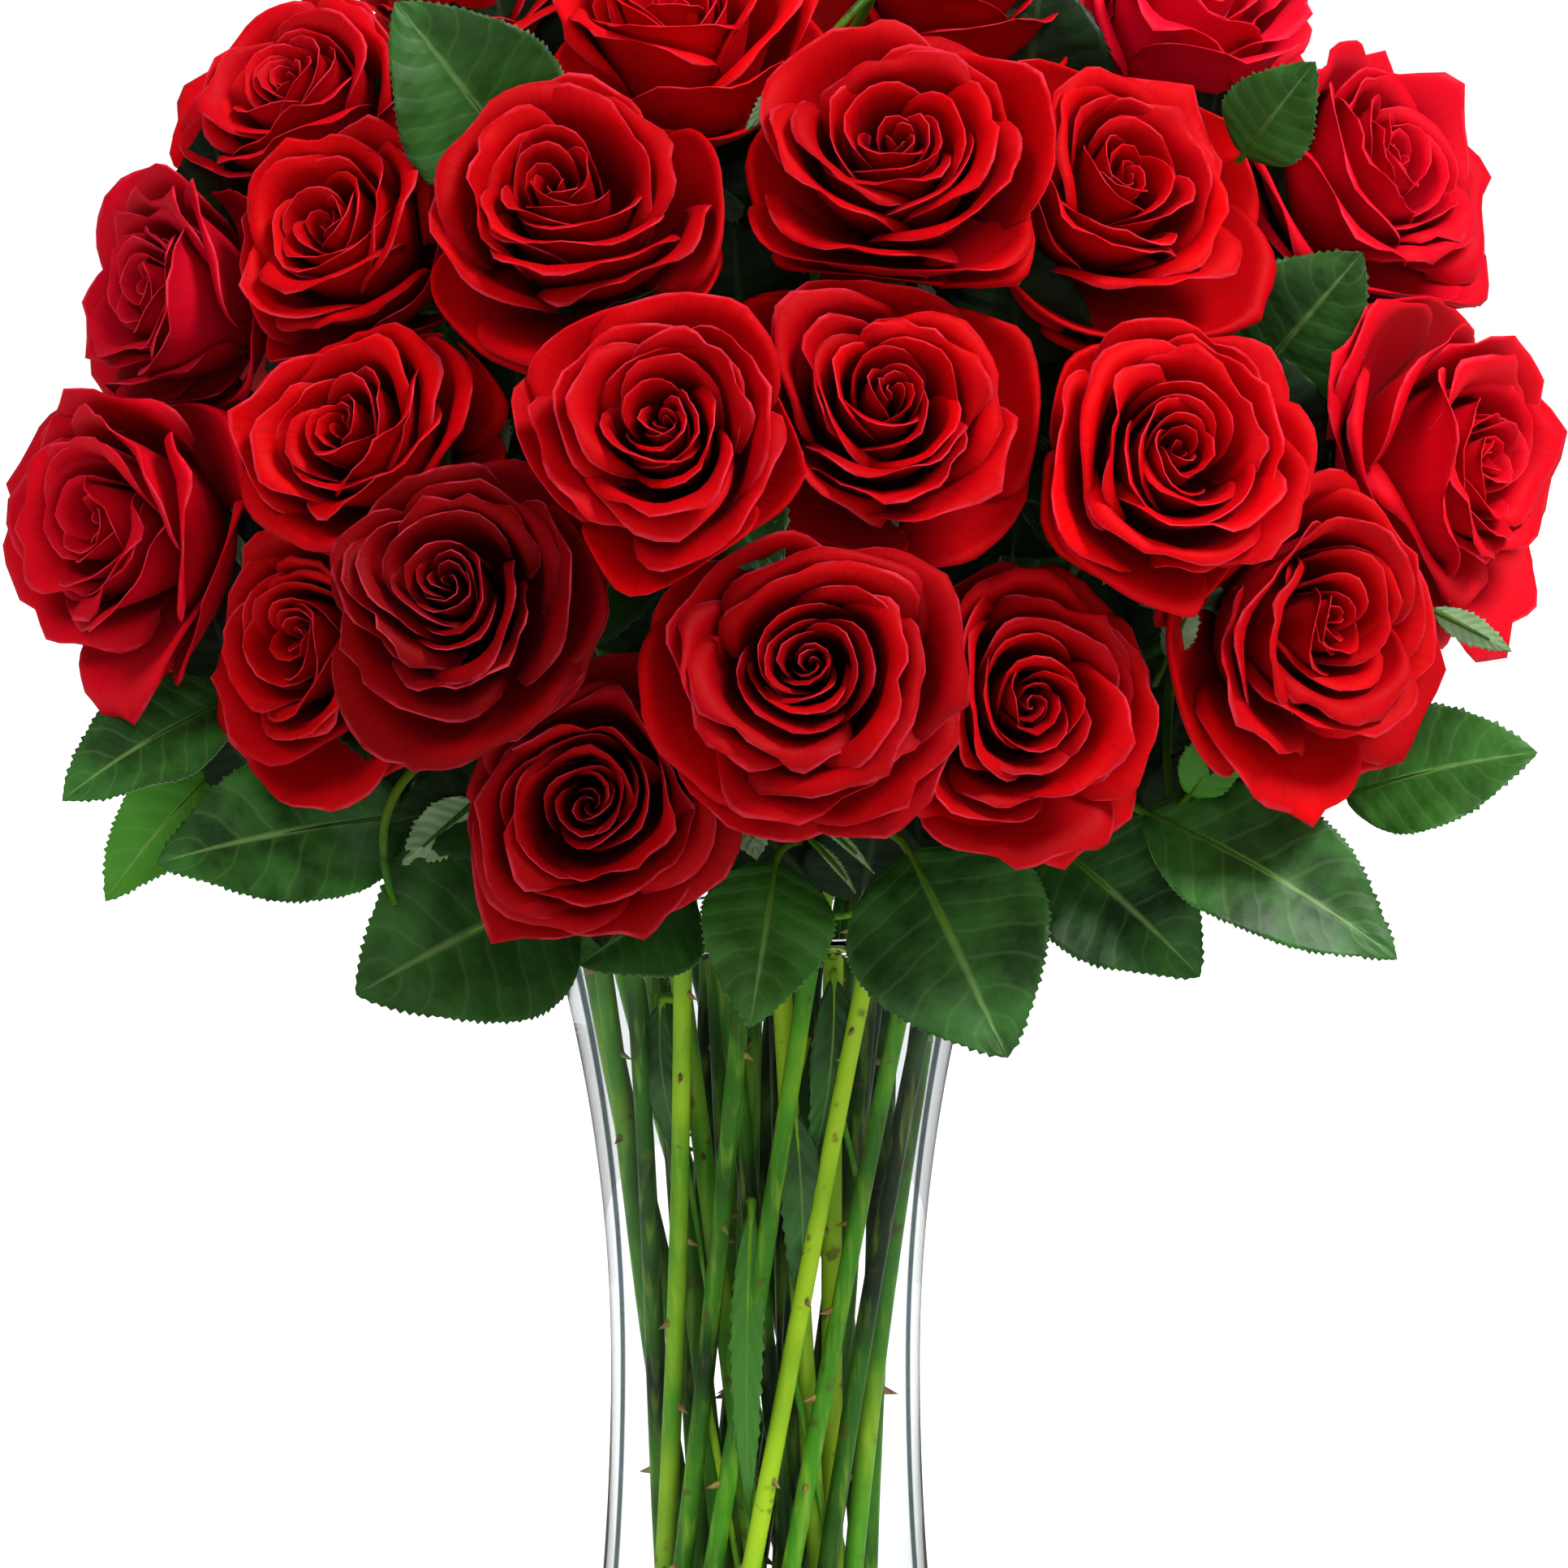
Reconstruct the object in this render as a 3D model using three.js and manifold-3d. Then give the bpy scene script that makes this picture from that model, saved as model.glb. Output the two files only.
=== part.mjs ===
// Twenty-nine long-stemmed red roses in a clear waisted glass vase of water.
//
// Millimetres, +Z up. The origin is the centre of the vase's foot on the table, and the bouquet's
// front faces -Y. Every rose is two pieces: a red bloom, and its green leafy stem, which runs down
// through the vase's neck and a hole in the water to the vase's floor.
import * as THREE from "three";
import { mergeVertices } from "three/addons/utils/BufferGeometryUtils.js";
import Module from "manifold-3d";

const wasm = await Module();
wasm.setup();

// Driving dimensions
const VASE = {
  height: 245,
  waistHeight: 120,
  waistRadius: 43.3,
  mouthFlare: 17.7,
  footFlare: 9.5,
  wall: 4,
  floor: 14,
  edge: 3,
  sides: 24,
};
const WATER_LEVEL = 240;
const CLEARANCE = 0.35; // between solids that touch
const WATER_GAP = 0.45; // from the water to the glass and to the stems, which are not quite round
const STEM_RADIUS = 2.35;
const STEM_SIDES = 5;
const STEM_FOOT = 1.2; // from the vase's floor up to the middle of a stem's cut end
const BLOOM_HEIGHT = 48; // from a bloom's base to the plane of its rims
const BLOOM_RADIUS = 39; // out to the petal tips of an uncrowded bloom
const BLOOM_MIDDLE = 0.45; // of its height below the rims
const PETAL = 0.9; // blade thickness
const PRESS_MARGIN = 0.65; // from a petal's middle to the plane half-way to the next bloom
const SQUEEZE_SHARPNESS = 10;
const LEAST_ROOM = 4; // from a bloom's axis to such a plane
const NEIGHBOUR_REACH = 130;
const STEM_SPACING = 0.9; // between two free stems, from skin to skin

// The roses: the middle of the rims, the heading of the bloom's axis round from the front (towards
// +X) and its pitch above level, in degrees, the bloom's size against a 78 mm one, and the way that
// its loosest petal hangs open: 0 is to its right, seen from the front, and 90 is up.
const ROSES = [
  ["01", [-132, -42, 479], -38, 35, 0.96, 150],
  ["02", [-119, -86, 441], -31, 27, 0.95, -15],
  ["03", [-53, -124, 453], -8, 36, 1.04, 5],
  ["04", [36, -124, 464], 0, 33, 1.02, -60],
  ["05", [98, -92, 455], 24, 32, 0.98, -25],
  ["06", [176, -30, 458], 50, 30, 0.98, -85],
  ["07", [-171, -55, 422], -58, 12, 0.93, 200],
  ["08", [-112, -119, 388], -24, 22, 0.92, -75],
  ["09", [-27, -176, 392], -8, 20, 0.95, 130],
  ["10", [33, -142, 397], 9, 22, 1.0, 10],
  ["11", [110, -138, 383], 15, 17, 1.0, -115],
  ["12", [199, -60, 377], 54, 5, 1.07, -70],
  ["13", [-185, -76, 360], -50, 5, 1.03, -80],
  ["14", [-83, -160, 349], -14, 16, 0.92, -70],
  ["15", [-126, -106, 330], -34, 2, 0.92, -80],
  ["16", [11, -172, 329], -3, 10, 1.04, -170],
  ["17", [72, -134, 316], 16, 6, 0.96, -85],
  ["18", [154, -106, 335], 34, 4, 1.05, -105],
  ["19", [-47, -140, 290], -6, 4, 0.98, -80],
  ["20", [119, -18, 505], 40, 60, 1.05, 60],
  ["21", [-23, -70, 502], -8, 58, 1.0, 95],
  ["22", [53, -28, 514], 12, 66, 1.0, 90],
  ["23", [-81, -18, 509], -30, 62, 0.98, 120],
  ["24", [-150, 30, 432], -100, 32, 0.95, 180],
  ["25", [176, 48, 418], 100, 22, 0.95, 15],
  ["26", [-92, 88, 408], -148, 22, 1.0, -90],
  ["27", [4, 104, 424], 180, 26, 1.0, -90],
  ["28", [96, 92, 402], 146, 22, 1.0, -90],
  ["29", [12, 48, 496], 178, 62, 0.98, -60],
];

// Rings of stems in the vase, from the outside in: how many, the radius at the neck and on the
// floor, and the twist in degrees between them. Neighbouring rings lean opposite ways.
const STEM_RINGS = [
  { count: 14, neck: 37, foot: 23, twist: 75 },
  { count: 11, neck: 24, foot: 14.5, twist: -68 },
  { count: 4, neck: 10.5, foot: 6.5, twist: 58 },
];

// Leaves: the blade's base and tip, the way its upper side faces, and its width. The free stem that
// passes nearest bears it.
const LEAVES = [
  [[-151, -62, 306], [-189, -74, 284], [-0.2, -0.8, 0.5], 33],
  [[-157, -40, 286], [-180, -46, 254], [-0.3, -0.9, 0.3], 28],
  [[-95, -66, 279], [-163, -84, 268], [0, -0.9, 0.45], 46],
  [[-53, -70, 262], [-109, -96, 235], [0.1, -0.95, 0.4], 54],
  [[3, -70, 267], [-4, -94, 225], [0.1, -0.9, 0.4], 36],
  [[39, -72, 270], [65, -96, 217], [-0.1, -0.9, 0.35], 56],
  [[76, -62, 273], [117, -80, 237], [0, -0.9, 0.4], 45],
  [[102, -76, 281], [169, -92, 243], [0, -0.8, 0.6], 44],
  [[166, -54, 284], [209, -62, 296], [0.2, -0.8, 0.5], 36],
  [[129, -50, 392], [161, -60, 431], [0.2, -0.9, 0.4], 42],
  [[129, -56, 457], [147, -74, 482], [0.1, -0.9, 0.3], 26],
  [[-66, -74, 470], [-97, -88, 497], [-0.1, -0.9, 0.4], 40],
  [[-20, -54, 256], [-50, -70, 239], [0, -0.9, 0.4], 38],
  [[50, -50, 257], [81, -66, 274], [0, -1, 0.3], 38],
  [[-65, -58, 261], [-95, -74, 289], [-0.1, -1, 0.2], 34],
  [[-132, 22, 330], [-176, 34, 296], [-0.6, 0.3, 0.7], 40],
  [[-82, 62, 306], [-118, 104, 276], [-0.3, 0.6, 0.7], 44],
  [[-48, 96, 336], [-56, 132, 292], [0, 0.9, 0.4], 40],
  [[2, 84, 312], [6, 128, 268], [0, 0.8, 0.6], 44],
  [[78, 62, 304], [112, 102, 272], [0.3, 0.6, 0.7], 44],
  [[46, 94, 338], [54, 132, 296], [0, 0.9, 0.4], 40],
  [[134, 40, 316], [172, 66, 280], [0.6, 0.4, 0.7], 40],
  [[-38, 78, 452], [-66, 106, 470], [-0.2, 0.8, 0.5], 38],
  [[58, 78, 456], [88, 100, 474], [0.2, 0.8, 0.5], 38],
];

const vector = (p) => new THREE.Vector3(...p);
const lerp = THREE.MathUtils.lerp;
const rad = THREE.MathUtils.degToRad;

// Solids and geometry

// A closed geometry as a solid, whichever way round its faces were listed.
function solid(geometry) {
  const bare = new THREE.BufferGeometry().setAttribute(
    "position",
    geometry.getAttribute("position").clone(),
  );
  if (geometry.index) bare.setIndex(geometry.index.clone());
  const merged = mergeVertices(bare, 1e-4);
  const kept = [];
  const index = merged.index.array;
  for (let i = 0; i < index.length; i += 3) {
    const [a, b, c] = [index[i], index[i + 1], index[i + 2]];
    if (a !== b && b !== c && a !== c) kept.push(a, b, c);
  }
  const asSolid = (triangles) =>
    new wasm.Manifold(
      new wasm.Mesh({
        numProp: 3,
        vertProperties: merged.attributes.position.array,
        triVerts: Uint32Array.from(triangles),
      }),
    );
  const made = asSolid(kept);
  if (made.volume() > 0) return made;
  for (let i = 0; i < kept.length; i += 3)
    [kept[i + 1], kept[i + 2]] = [kept[i + 2], kept[i + 1]];
  return asSolid(kept);
}

function geometryOf(made) {
  const mesh = made.getMesh();
  const positions = new Float32Array(mesh.numVert * 3);
  for (let i = 0; i < mesh.numVert; i++)
    for (let k = 0; k < 3; k++)
      positions[3 * i + k] = mesh.vertProperties[mesh.numProp * i + k];
  const geometry = new THREE.BufferGeometry()
    .setAttribute("position", new THREE.BufferAttribute(positions, 3))
    .setIndex(new THREE.BufferAttribute(mesh.triVerts, 1));
  geometry.computeVertexNormals();
  return geometry;
}

// Joins solids and drops loose crumbs that the joining leaves.
function fuse(parts) {
  const whole = wasm.Manifold.union(parts);
  const bodies = whole.decompose();
  return bodies.reduce((a, b) => (a.volume() > b.volume() ? a : b));
}

// A closed skin over rings of points, with a fan over each end.
function skin(rings) {
  const positions = rings.flat().flatMap((p) => p.toArray());
  const sides = rings[0].length;
  const index = [];
  for (let i = 0; i + 1 < rings.length; i++)
    for (let k = 0; k < sides; k++) {
      const [a, b] = [i * sides + k, i * sides + ((k + 1) % sides)];
      index.push(a, b, b + sides, a, b + sides, a + sides);
    }
  const last = (rings.length - 1) * sides;
  for (let k = 1; k + 1 < sides; k++) {
    index.push(0, k + 1, k);
    index.push(last, last + k, last + k + 1);
  }
  return new THREE.BufferGeometry()
    .setAttribute("position", new THREE.Float32BufferAttribute(positions, 3))
    .setIndex(index);
}

// The rings of a tube through points, with its own radius at each. Its section is carried along
// without twist.
function tubeRings(points, radii, sides) {
  const rings = [];
  let side = null;
  points.forEach((point, i) => {
    const before = points[Math.max(i - 1, 0)];
    const after = points[Math.min(i + 1, points.length - 1)];
    const along = after.clone().sub(before).normalize();
    if (!side)
      side = new THREE.Vector3(0, 0, 1)
        .cross(along)
        .add(new THREE.Vector3(1e-3, 0, 0));
    side.addScaledVector(along, -side.dot(along)).normalize();
    const across = along.clone().cross(side);
    rings.push(
      Array.from({ length: sides }, (_, k) => {
        const turn = (2 * Math.PI * k) / sides;
        return point
          .clone()
          .addScaledVector(side, radii[i] * Math.cos(turn))
          .addScaledVector(across, radii[i] * Math.sin(turn));
      }),
    );
  });
  return rings;
}

const taperedTube = (...shape) => solid(skin(tubeRings(...shape)));

const solidOf = ({ points, index }) =>
  solid(
    new THREE.BufferGeometry()
      .setAttribute(
        "position",
        new THREE.Float32BufferAttribute(points.flatMap((p) => p.toArray()), 3),
      )
      .setIndex(index),
  );

// Adds a thin blade over rows of points on its middle surface, root first. Rows may differ in length,
// and both faces are split into the same triangles. The root stays open: its four corners come back.
function addBlade(mesh, rows, thickness) {
  const starts = [];
  const count = rows.reduce((sum, row) => (starts.push(mesh.points.length + sum), sum + row.length), 0);
  for (const sign of [1, -1])
    for (const { point, normal } of rows.flat())
      mesh.points.push(point.clone().addScaledVector(normal, (sign * thickness) / 2));
  const both = (a, b, c) => mesh.index.push(a, b, c, a + count, c + count, b + count);
  const wall = (a, b) => mesh.index.push(a, b + count, b, a, a + count, b + count);
  const ends = rows.map((row, i) => starts[i] + row.length - 1);
  for (let i = 0; i + 1 < rows.length; i++) {
    let [j, k] = [starts[i], starts[i + 1]];
    const share = (point, row) => (point - starts[row]) / (ends[row] - starts[row]);
    const skew = (one, two) => Math.abs(share(one, i) - share(two, i + 1));
    while (j < ends[i] || k < ends[i + 1]) {
      if (k === ends[i + 1] || (j < ends[i] && skew(j + 1, k) < skew(j, k + 1))) both(j, ++j, k);
      else both(j, k + 1, k++);
    }
    wall(starts[i + 1], starts[i]);
    wall(ends[i], ends[i + 1]);
  }
  for (let k = starts.at(-1); k < ends.at(-1); k++) wall(k + 1, k);
  return [starts[0], ends[0], ends[0] + count, starts[0] + count];
}

// Blooms

function axisOf(heading, pitch) {
  const [h, p] = [rad(heading), rad(pitch)];
  return new THREE.Vector3(
    Math.sin(h) * Math.cos(p),
    -Math.cos(h) * Math.cos(p),
    Math.sin(p),
  );
}

const roses = ROSES.map(([name, at, heading, pitch, size, loosest]) => {
  const axis = axisOf(heading, pitch);
  const rim = vector(at);
  const side = new THREE.Vector3(0, 0, 1).cross(axis).normalize();
  return {
    name,
    size,
    axis,
    side,
    across: axis.clone().cross(side),
    loosest: rad(loosest),
    base: rim.clone().addScaledVector(axis, -BLOOM_HEIGHT * size),
    middle: rim.clone().addScaledVector(axis, -BLOOM_MIDDLE * BLOOM_HEIGHT * size),
  };
});

// The planes half-way between a bloom and each near one. A bloom keeps to its own side of them.
for (const rose of roses)
  rose.planes = roses
    .filter(
      (other) =>
        other !== rose &&
        other.middle.distanceTo(rose.middle) < NEIGHBOUR_REACH,
    )
    .map((other) => {
      const normal = other.middle.clone().sub(rose.middle).normalize();
      const share = rose.size / (rose.size + other.size);
      return {
        normal,
        at: rose.middle.clone().lerp(other.middle, share).dot(normal),
      };
    });

// The outer petals' radius at a height above the bloom's base, both for a bloom of size 1: a cup
// that is as wide as the petals' roots at its bottom and full at its rims.
const CUP = { root: 5, fullAt: 46, roundness: 0.8 };
function envelope(height) {
  const share = THREE.MathUtils.clamp(height / CUP.fullAt, 0, 1);
  return CUP.root + (BLOOM_RADIUS - CUP.root) * Math.sin((share * Math.PI) / 2) ** CUP.roundness;
}

// A crowded bloom is squeezed as a whole: every petal is drawn in, the outer ones the most, so that
// they stay on their own side of the planes.
function petalPlace(rose, away, round, up) {
  const spot = (share) =>
    rose.base
      .clone()
      .addScaledVector(rose.axis, up * rose.size)
      .addScaledVector(rose.side, away * share * rose.size)
      .addScaledVector(rose.across, round * share * rose.size);
  const radius = Math.hypot(away, round);
  const axial = spot(0);
  const outward = spot(1).sub(axial).divideScalar(radius * rose.size);
  const reach = Math.max(envelope(up), radius);
  let crowding = 1;
  for (const { normal, at } of rose.planes) {
    const slope = outward.dot(normal);
    if (slope <= 0) continue;
    const room = Math.max(at - PRESS_MARGIN - axial.dot(normal), LEAST_ROOM) / slope;
    crowding += ((reach * rose.size) / room) ** SQUEEZE_SHARPNESS;
  }
  const draw = 1 - crowding ** (-1 / SQUEEZE_SHARPNESS);
  const point = spot(1 - draw * Math.sqrt(radius / reach));
  for (const { normal, at } of rose.planes) {
    const over = point.dot(normal) - (at - PRESS_MARGIN);
    if (over > 0) point.addScaledVector(normal, -over);
  }
  return point;
}

// An outer petal, for a bloom of size 1: rows from the root to the tip, each with its distance from
// the bloom's axis, its height, half the angle that it spans and its number of points. The loosest
// petal hangs wider open than the others.
const PETALS = {
  count: 4,
  spiral: 3,
  rows: [
    { radius: 7.1, height: 4.2, half: 15, points: 2 },
    { radius: 24.5, height: 15, half: 45, points: 3 },
    { radius: 31, height: 37, half: 58, points: 5 },
    { radius: 38, height: 42.5, half: 30, points: 3 },
  ],
  loose: [
    { radius: 7.1, height: 4.2, half: 15, points: 2 },
    { radius: 29, height: 12, half: 42, points: 3 },
    { radius: 40, height: 31, half: 46, points: 5 },
    { radius: 49, height: 33, half: 22, points: 3 },
  ],
};

// One petal. Along each row it winds outwards, so that one edge lies over the next petal and the
// other under it.
function petalRows(rose, rows, turn) {
  const spread = ({ radius }) => (radius - rows[0].radius) / (rows.at(-1).radius - rows[0].radius);
  const at = (row, u) => {
    const angle = turn + rad(row.half) * u;
    const out = row.radius + PETALS.spiral * u * spread(row);
    return petalPlace(rose, out * Math.cos(angle), out * Math.sin(angle), row.height);
  };
  return rows.map((row, i) =>
    Array.from({ length: row.points }, (_, k) => {
      const u = lerp(-1, 1, k / (row.points - 1));
      const before = at(rows[Math.max(i - 1, 0)], u);
      const after = at(rows[Math.min(i + 1, rows.length - 1)], u);
      const alongU = at(row, u + 0.1).sub(at(row, u - 0.1));
      const normal = alongU.cross(after.sub(before)).normalize();
      return { point: at(row, u), normal };
    }),
  );
}

// The core of a bloom: inner petals rolled into one bud, with a spiral edge that steps out where it
// has gone round once, and a groove inside its rim round the bud's heart.
const CORE = {
  columns: 9,
  wrap: [0.86, 1.14],
  turn: 0.995, // of a full turn, from the first column to the last
  levels: [
    { radius: 5, height: CLEARANCE, wrapped: 0 },
    { radius: 8.6, height: 8.5, wrapped: 0 },
    { radius: 16.5, height: 21, wrapped: 1 },
    { radius: 18, height: 46.5, wrapped: 1 },
    { radius: 12.2, height: 38, wrapped: 1 },
    { radius: 8.8, height: 47, wrapped: 1 },
    { radius: 4, height: 42, wrapped: 1 },
  ],
};

// A bloom is one skin: the core's, opened in its lowest band where each outer petal grows out. The
// loosest petal grows from the middle of the first column's side.
function bloom(rose) {
  const mesh = { points: [], index: [] };
  const { columns, wrap, levels: rings } = CORE;
  const step = (2 * Math.PI * CORE.turn) / (columns - 1);
  const angleAt = (k) => rose.loosest + step * (k - 0.5);
  for (const { radius, height, wrapped } of rings)
    for (let k = 0; k < columns; k++) {
      const out = radius * lerp(1, lerp(...wrap, k / (columns - 1)), wrapped);
      const angle = angleAt(k);
      mesh.points.push(petalPlace(rose, out * Math.cos(angle), out * Math.sin(angle), height));
    }
  const sector = (columns - 1) / PETALS.count;
  for (let i = 0; i + 1 < rings.length; i++)
    for (let k = 0; k < columns; k++) {
      const [a, b] = [i * columns + k, i * columns + ((k + 1) % columns)];
      const [c, d] = [b + columns, a + columns];
      if (i === 0 && k % sector === 0 && k / sector < PETALS.count) {
        const rows = petalRows(rose, k === 0 ? PETALS.loose : PETALS.rows, angleAt(k + 0.5));
        const [p, q, r, s] = addBlade(mesh, rows, PETAL);
        mesh.index.push(a, b, q, a, q, p, b, c, r, b, r, q, c, d, s, c, s, r, d, a, s, a, p, s);
      } else mesh.index.push(a, b, c, a, c, d);
    }
  const last = (rings.length - 1) * columns;
  for (let k = 1; k + 1 < columns; k++)
    mesh.index.push(0, k + 1, k, last, last + k, last + k + 1);
  return solidOf(mesh);
}

// Stems

// The lowest blooms stand in the outer ring and the highest in the inner one. In each ring the
// stems keep the order of their blooms round the vase.
const NECK = new THREE.Vector3(0, 0, VASE.height);
const lift = (rose) => {
  const from = rose.base.clone().sub(NECK);
  return Math.atan2(from.z, Math.hypot(from.x, from.y));
};
const bearing = (rose) => Math.atan2(rose.base.y, rose.base.x);
const byLift = [...roses].sort((a, b) => lift(a) - lift(b));
for (const ring of STEM_RINGS) {
  const members = byLift
    .splice(0, ring.count)
    .sort((a, b) => bearing(a) - bearing(b));
  const gap = (2 * Math.PI) / ring.count;
  const sum = (f) =>
    members.reduce((total, rose, k) => total + f(bearing(rose) - k * gap), 0);
  const shift = Math.atan2(sum(Math.sin), sum(Math.cos));
  const spot = (radius, turn, height) =>
    new THREE.Vector3(radius * Math.cos(turn), radius * Math.sin(turn), height);
  members.forEach((rose, k) => {
    const top = k * gap + shift;
    rose.neck = spot(ring.neck, top, VASE.height);
    rose.foot = spot(ring.foot, top - rad(ring.twist), VASE.floor + STEM_FOOT);
  });
}

// The free stem runs from the vase's neck to the bloom. It leaves along the line it has in the vase
// and arrives along the bloom's axis.
const STEM_STIFFNESS = { start: 0.3, end: 0.35 };
const HIP = [
  { below: 15, radius: STEM_RADIUS },
  { below: 6, radius: 5.6 },
  { below: 0, radius: 4.8 },
];
const FREE_SHARES = [0.22, 0.48, 0.74];
for (const rose of roses) {
  const lean = rose.neck.clone().sub(rose.foot).normalize();
  const hip = (below) => rose.base.clone().addScaledVector(rose.axis, -below * rose.size);
  const start = hip(HIP[0].below);
  const reach = rose.neck.distanceTo(start);
  const free = new THREE.CubicBezierCurve3(
    rose.neck,
    rose.neck.clone().addScaledVector(lean, STEM_STIFFNESS.start * reach),
    start.clone().addScaledVector(rose.axis, -STEM_STIFFNESS.end * reach),
    start,
  );
  rose.path = [
    { point: rose.foot, radius: STEM_RADIUS },
    { point: rose.neck, radius: STEM_RADIUS },
    ...FREE_SHARES.map((t) => ({ point: free.getPoint(t), radius: STEM_RADIUS, loose: true })),
    ...HIP.map(({ below, radius }) => ({ point: hip(below), radius: radius * rose.size })),
  ];
}

// The nearest points of two stretches of stem, as shares along each.
function nearest([a, b], [c, d]) {
  const [p, q, r] = [b.clone().sub(a), d.clone().sub(c), a.clone().sub(c)];
  const [pp, qq, pq, pr, qr] = [p.dot(p), q.dot(q), p.dot(q), p.dot(r), q.dot(r)];
  const clamp = (x) => THREE.MathUtils.clamp(x, 0, 1);
  const flat = pp * qq - pq * pq;
  const s = flat > 1e-9 ? clamp((pq * qr - pr * qq) / flat) : 0.5;
  const t = clamp((pq * s + qr) / qq);
  return [clamp((pq * t - pr) / pp), t];
}

// Crossing stems are bent clear of each other, a little at a time, and eased between their
// neighbours so that no bend is sharp.
const ROUNDS = 160;
const EASED_ROUNDS = 80;
const EASING = 0.02;
for (let round = 0; round < ROUNDS; round++) {
  for (let i = 0; i < roses.length; i++)
    for (let j = i + 1; j < roses.length; j++)
      for (let m = 0; m + 1 < roses[i].path.length; m++)
        for (let n = 0; n + 1 < roses[j].path.length; n++) {
          const one = roses[i].path.slice(m, m + 2);
          const two = roses[j].path.slice(n, n + 2);
          const points = [one, two].map((pair) => pair.map(({ point }) => point));
          const [s, t] = nearest(...points);
          const apart = points[0][0].clone().lerp(points[0][1], s);
          apart.sub(points[1][0].clone().lerp(points[1][1], t));
          const radii = lerp(one[0].radius, one[1].radius, s) + lerp(two[0].radius, two[1].radius, t);
          const short = radii + STEM_SPACING - apart.length();
          if (short <= 0) continue;
          apart.setLength(0.5 * short);
          [1 - s, s].forEach((w, k) => one[k].loose && one[k].point.addScaledVector(apart, w));
          [1 - t, t].forEach((w, k) => two[k].loose && two[k].point.addScaledVector(apart, -w));
        }
  if (round > EASED_ROUNDS) continue;
  for (const { path } of roses)
    path.forEach(({ point, loose }, k) => {
      if (!loose) return;
      const middle = path[k - 1].point.clone().lerp(path[k + 1].point, 0.5);
      point.lerp(middle, EASING);
    });
}

// Five pointed sepals, one from each side of the hip, bent back.
const SEPAL = { root: 2.2, wide: 2.1, thick: 1.5, reach: 19, bend: -7 };

// The stem, its hip and its sepals.
function stalk(rose) {
  const rings = tubeRings(
    rose.path.map(({ point }) => point),
    rose.path.map(({ radius }) => radius),
    STEM_SIDES,
  );
  const [belly, top] = rings.slice(-2);
  const sepals = top.map((corner, k) => {
    const next = (k + 1) % STEM_SIDES;
    const side = [corner, top[next], belly[k], belly[next]];
    const middle = side.reduce((sum, p) => sum.addScaledVector(p, 0.25), new THREE.Vector3());
    const across = top[next].clone().sub(corner).normalize();
    const out = across.clone().cross(rose.axis).normalize();
    if (out.dot(middle.clone().sub(rose.base)) < 0) out.negate();
    const at = (away, beside, up) =>
      middle
        .clone()
        .addScaledVector(out, away)
        .addScaledVector(across, beside)
        .addScaledVector(rose.axis, up);
    const { root, wide, thick, reach, bend } = SEPAL;
    const corners = [at(-root, -wide, thick), at(-root, wide, thick), at(-root, 0, -thick)];
    return solidOf({
      points: [...corners, at(reach, 0, bend)],
      index: [0, 1, 2, 0, 3, 1, 1, 3, 2, 2, 3, 0],
    });
  });
  return fuse([solid(skin(rings)), ...sepals]);
}

// Leaves

// One saw-toothed blade, folded up along its rib and arched along it.
const LEAF = {
  thickness: 0.9,
  arch: 0.07, // of its length
  fold: 0.2, // rise of its edges, of its half width
  teeth: 3,
  tooth: { at: 0.8, out: 1.6 },
  notch: { at: 0.98, out: -1 },
  ribAt: [0, 0.3, 0.6, 0.85, 1],
};

function leafBlade(base, tip, facing, width) {
  const along = tip.clone().sub(base);
  const length = along.length();
  along.normalize();
  const up = facing.clone().addScaledVector(along, -facing.dot(along)).normalize();
  const across = along.clone().cross(up);
  const ribPoint = (s) =>
    base
      .clone()
      .addScaledVector(along, length * s)
      .addScaledVector(up, LEAF.arch * length * 4 * s * (1 - s));
  // Widest two fifths of the way along.
  const halfAt = (s) => (width / 2) * Math.sin(Math.PI * s ** 0.78) ** 0.85;
  const edgePoint = (s, sign, { out }) => {
    const half = halfAt(s) + out;
    return ribPoint(s)
      .addScaledVector(across, sign * half)
      .addScaledVector(up, LEAF.fold * half);
  };
  const points = [];
  const add = (point) => points.push(point.addScaledVector(up, LEAF.thickness / 2)) - 1;
  const rib = LEAF.ribAt.map((s) => add(ribPoint(s)));
  const { teeth, tooth, notch } = LEAF;
  const edges = [-1, 1].map((sign) => {
    const edge = [];
    for (let k = 0; k < teeth; k++) {
      edge.push(add(edgePoint((k + tooth.at) / teeth, sign, tooth)));
      if (k + 1 < teeth) edge.push(add(edgePoint((k + notch.at) / teeth, sign, notch)));
    }
    return edge;
  });
  const count = points.length;
  const index = [];
  // The rib point that each point of the outline is joined to.
  const partner = [0, 0, 1, 2, 3, 3, 4];
  edges.forEach((edge, mirrored) => {
    const both = (a, b, c) => {
      const [second, third] = mirrored ? [c, b] : [b, c];
      index.push(a, second, third, a + count, third + count, second + count);
    };
    const wall = (from, to) => {
      const [a, b] = mirrored ? [to, from] : [from, to];
      index.push(a, b + count, b, a, a + count, b + count);
    };
    const outline = [rib[0], ...edge, rib.at(-1)];
    for (let k = 0; k + 1 < outline.length; k++) {
      const [here, next] = [rib[partner[k]], rib[partner[k + 1]]];
      if (here !== outline[k]) both(here, outline[k], outline[k + 1]);
      if (here !== next && next !== outline[k + 1]) both(here, outline[k + 1], next);
      wall(outline[k], outline[k + 1]);
    }
  });
  const under = points.map((p) => p.clone().addScaledVector(up, -LEAF.thickness));
  return solidOf({ points: [...points, ...under], index });
}

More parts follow.
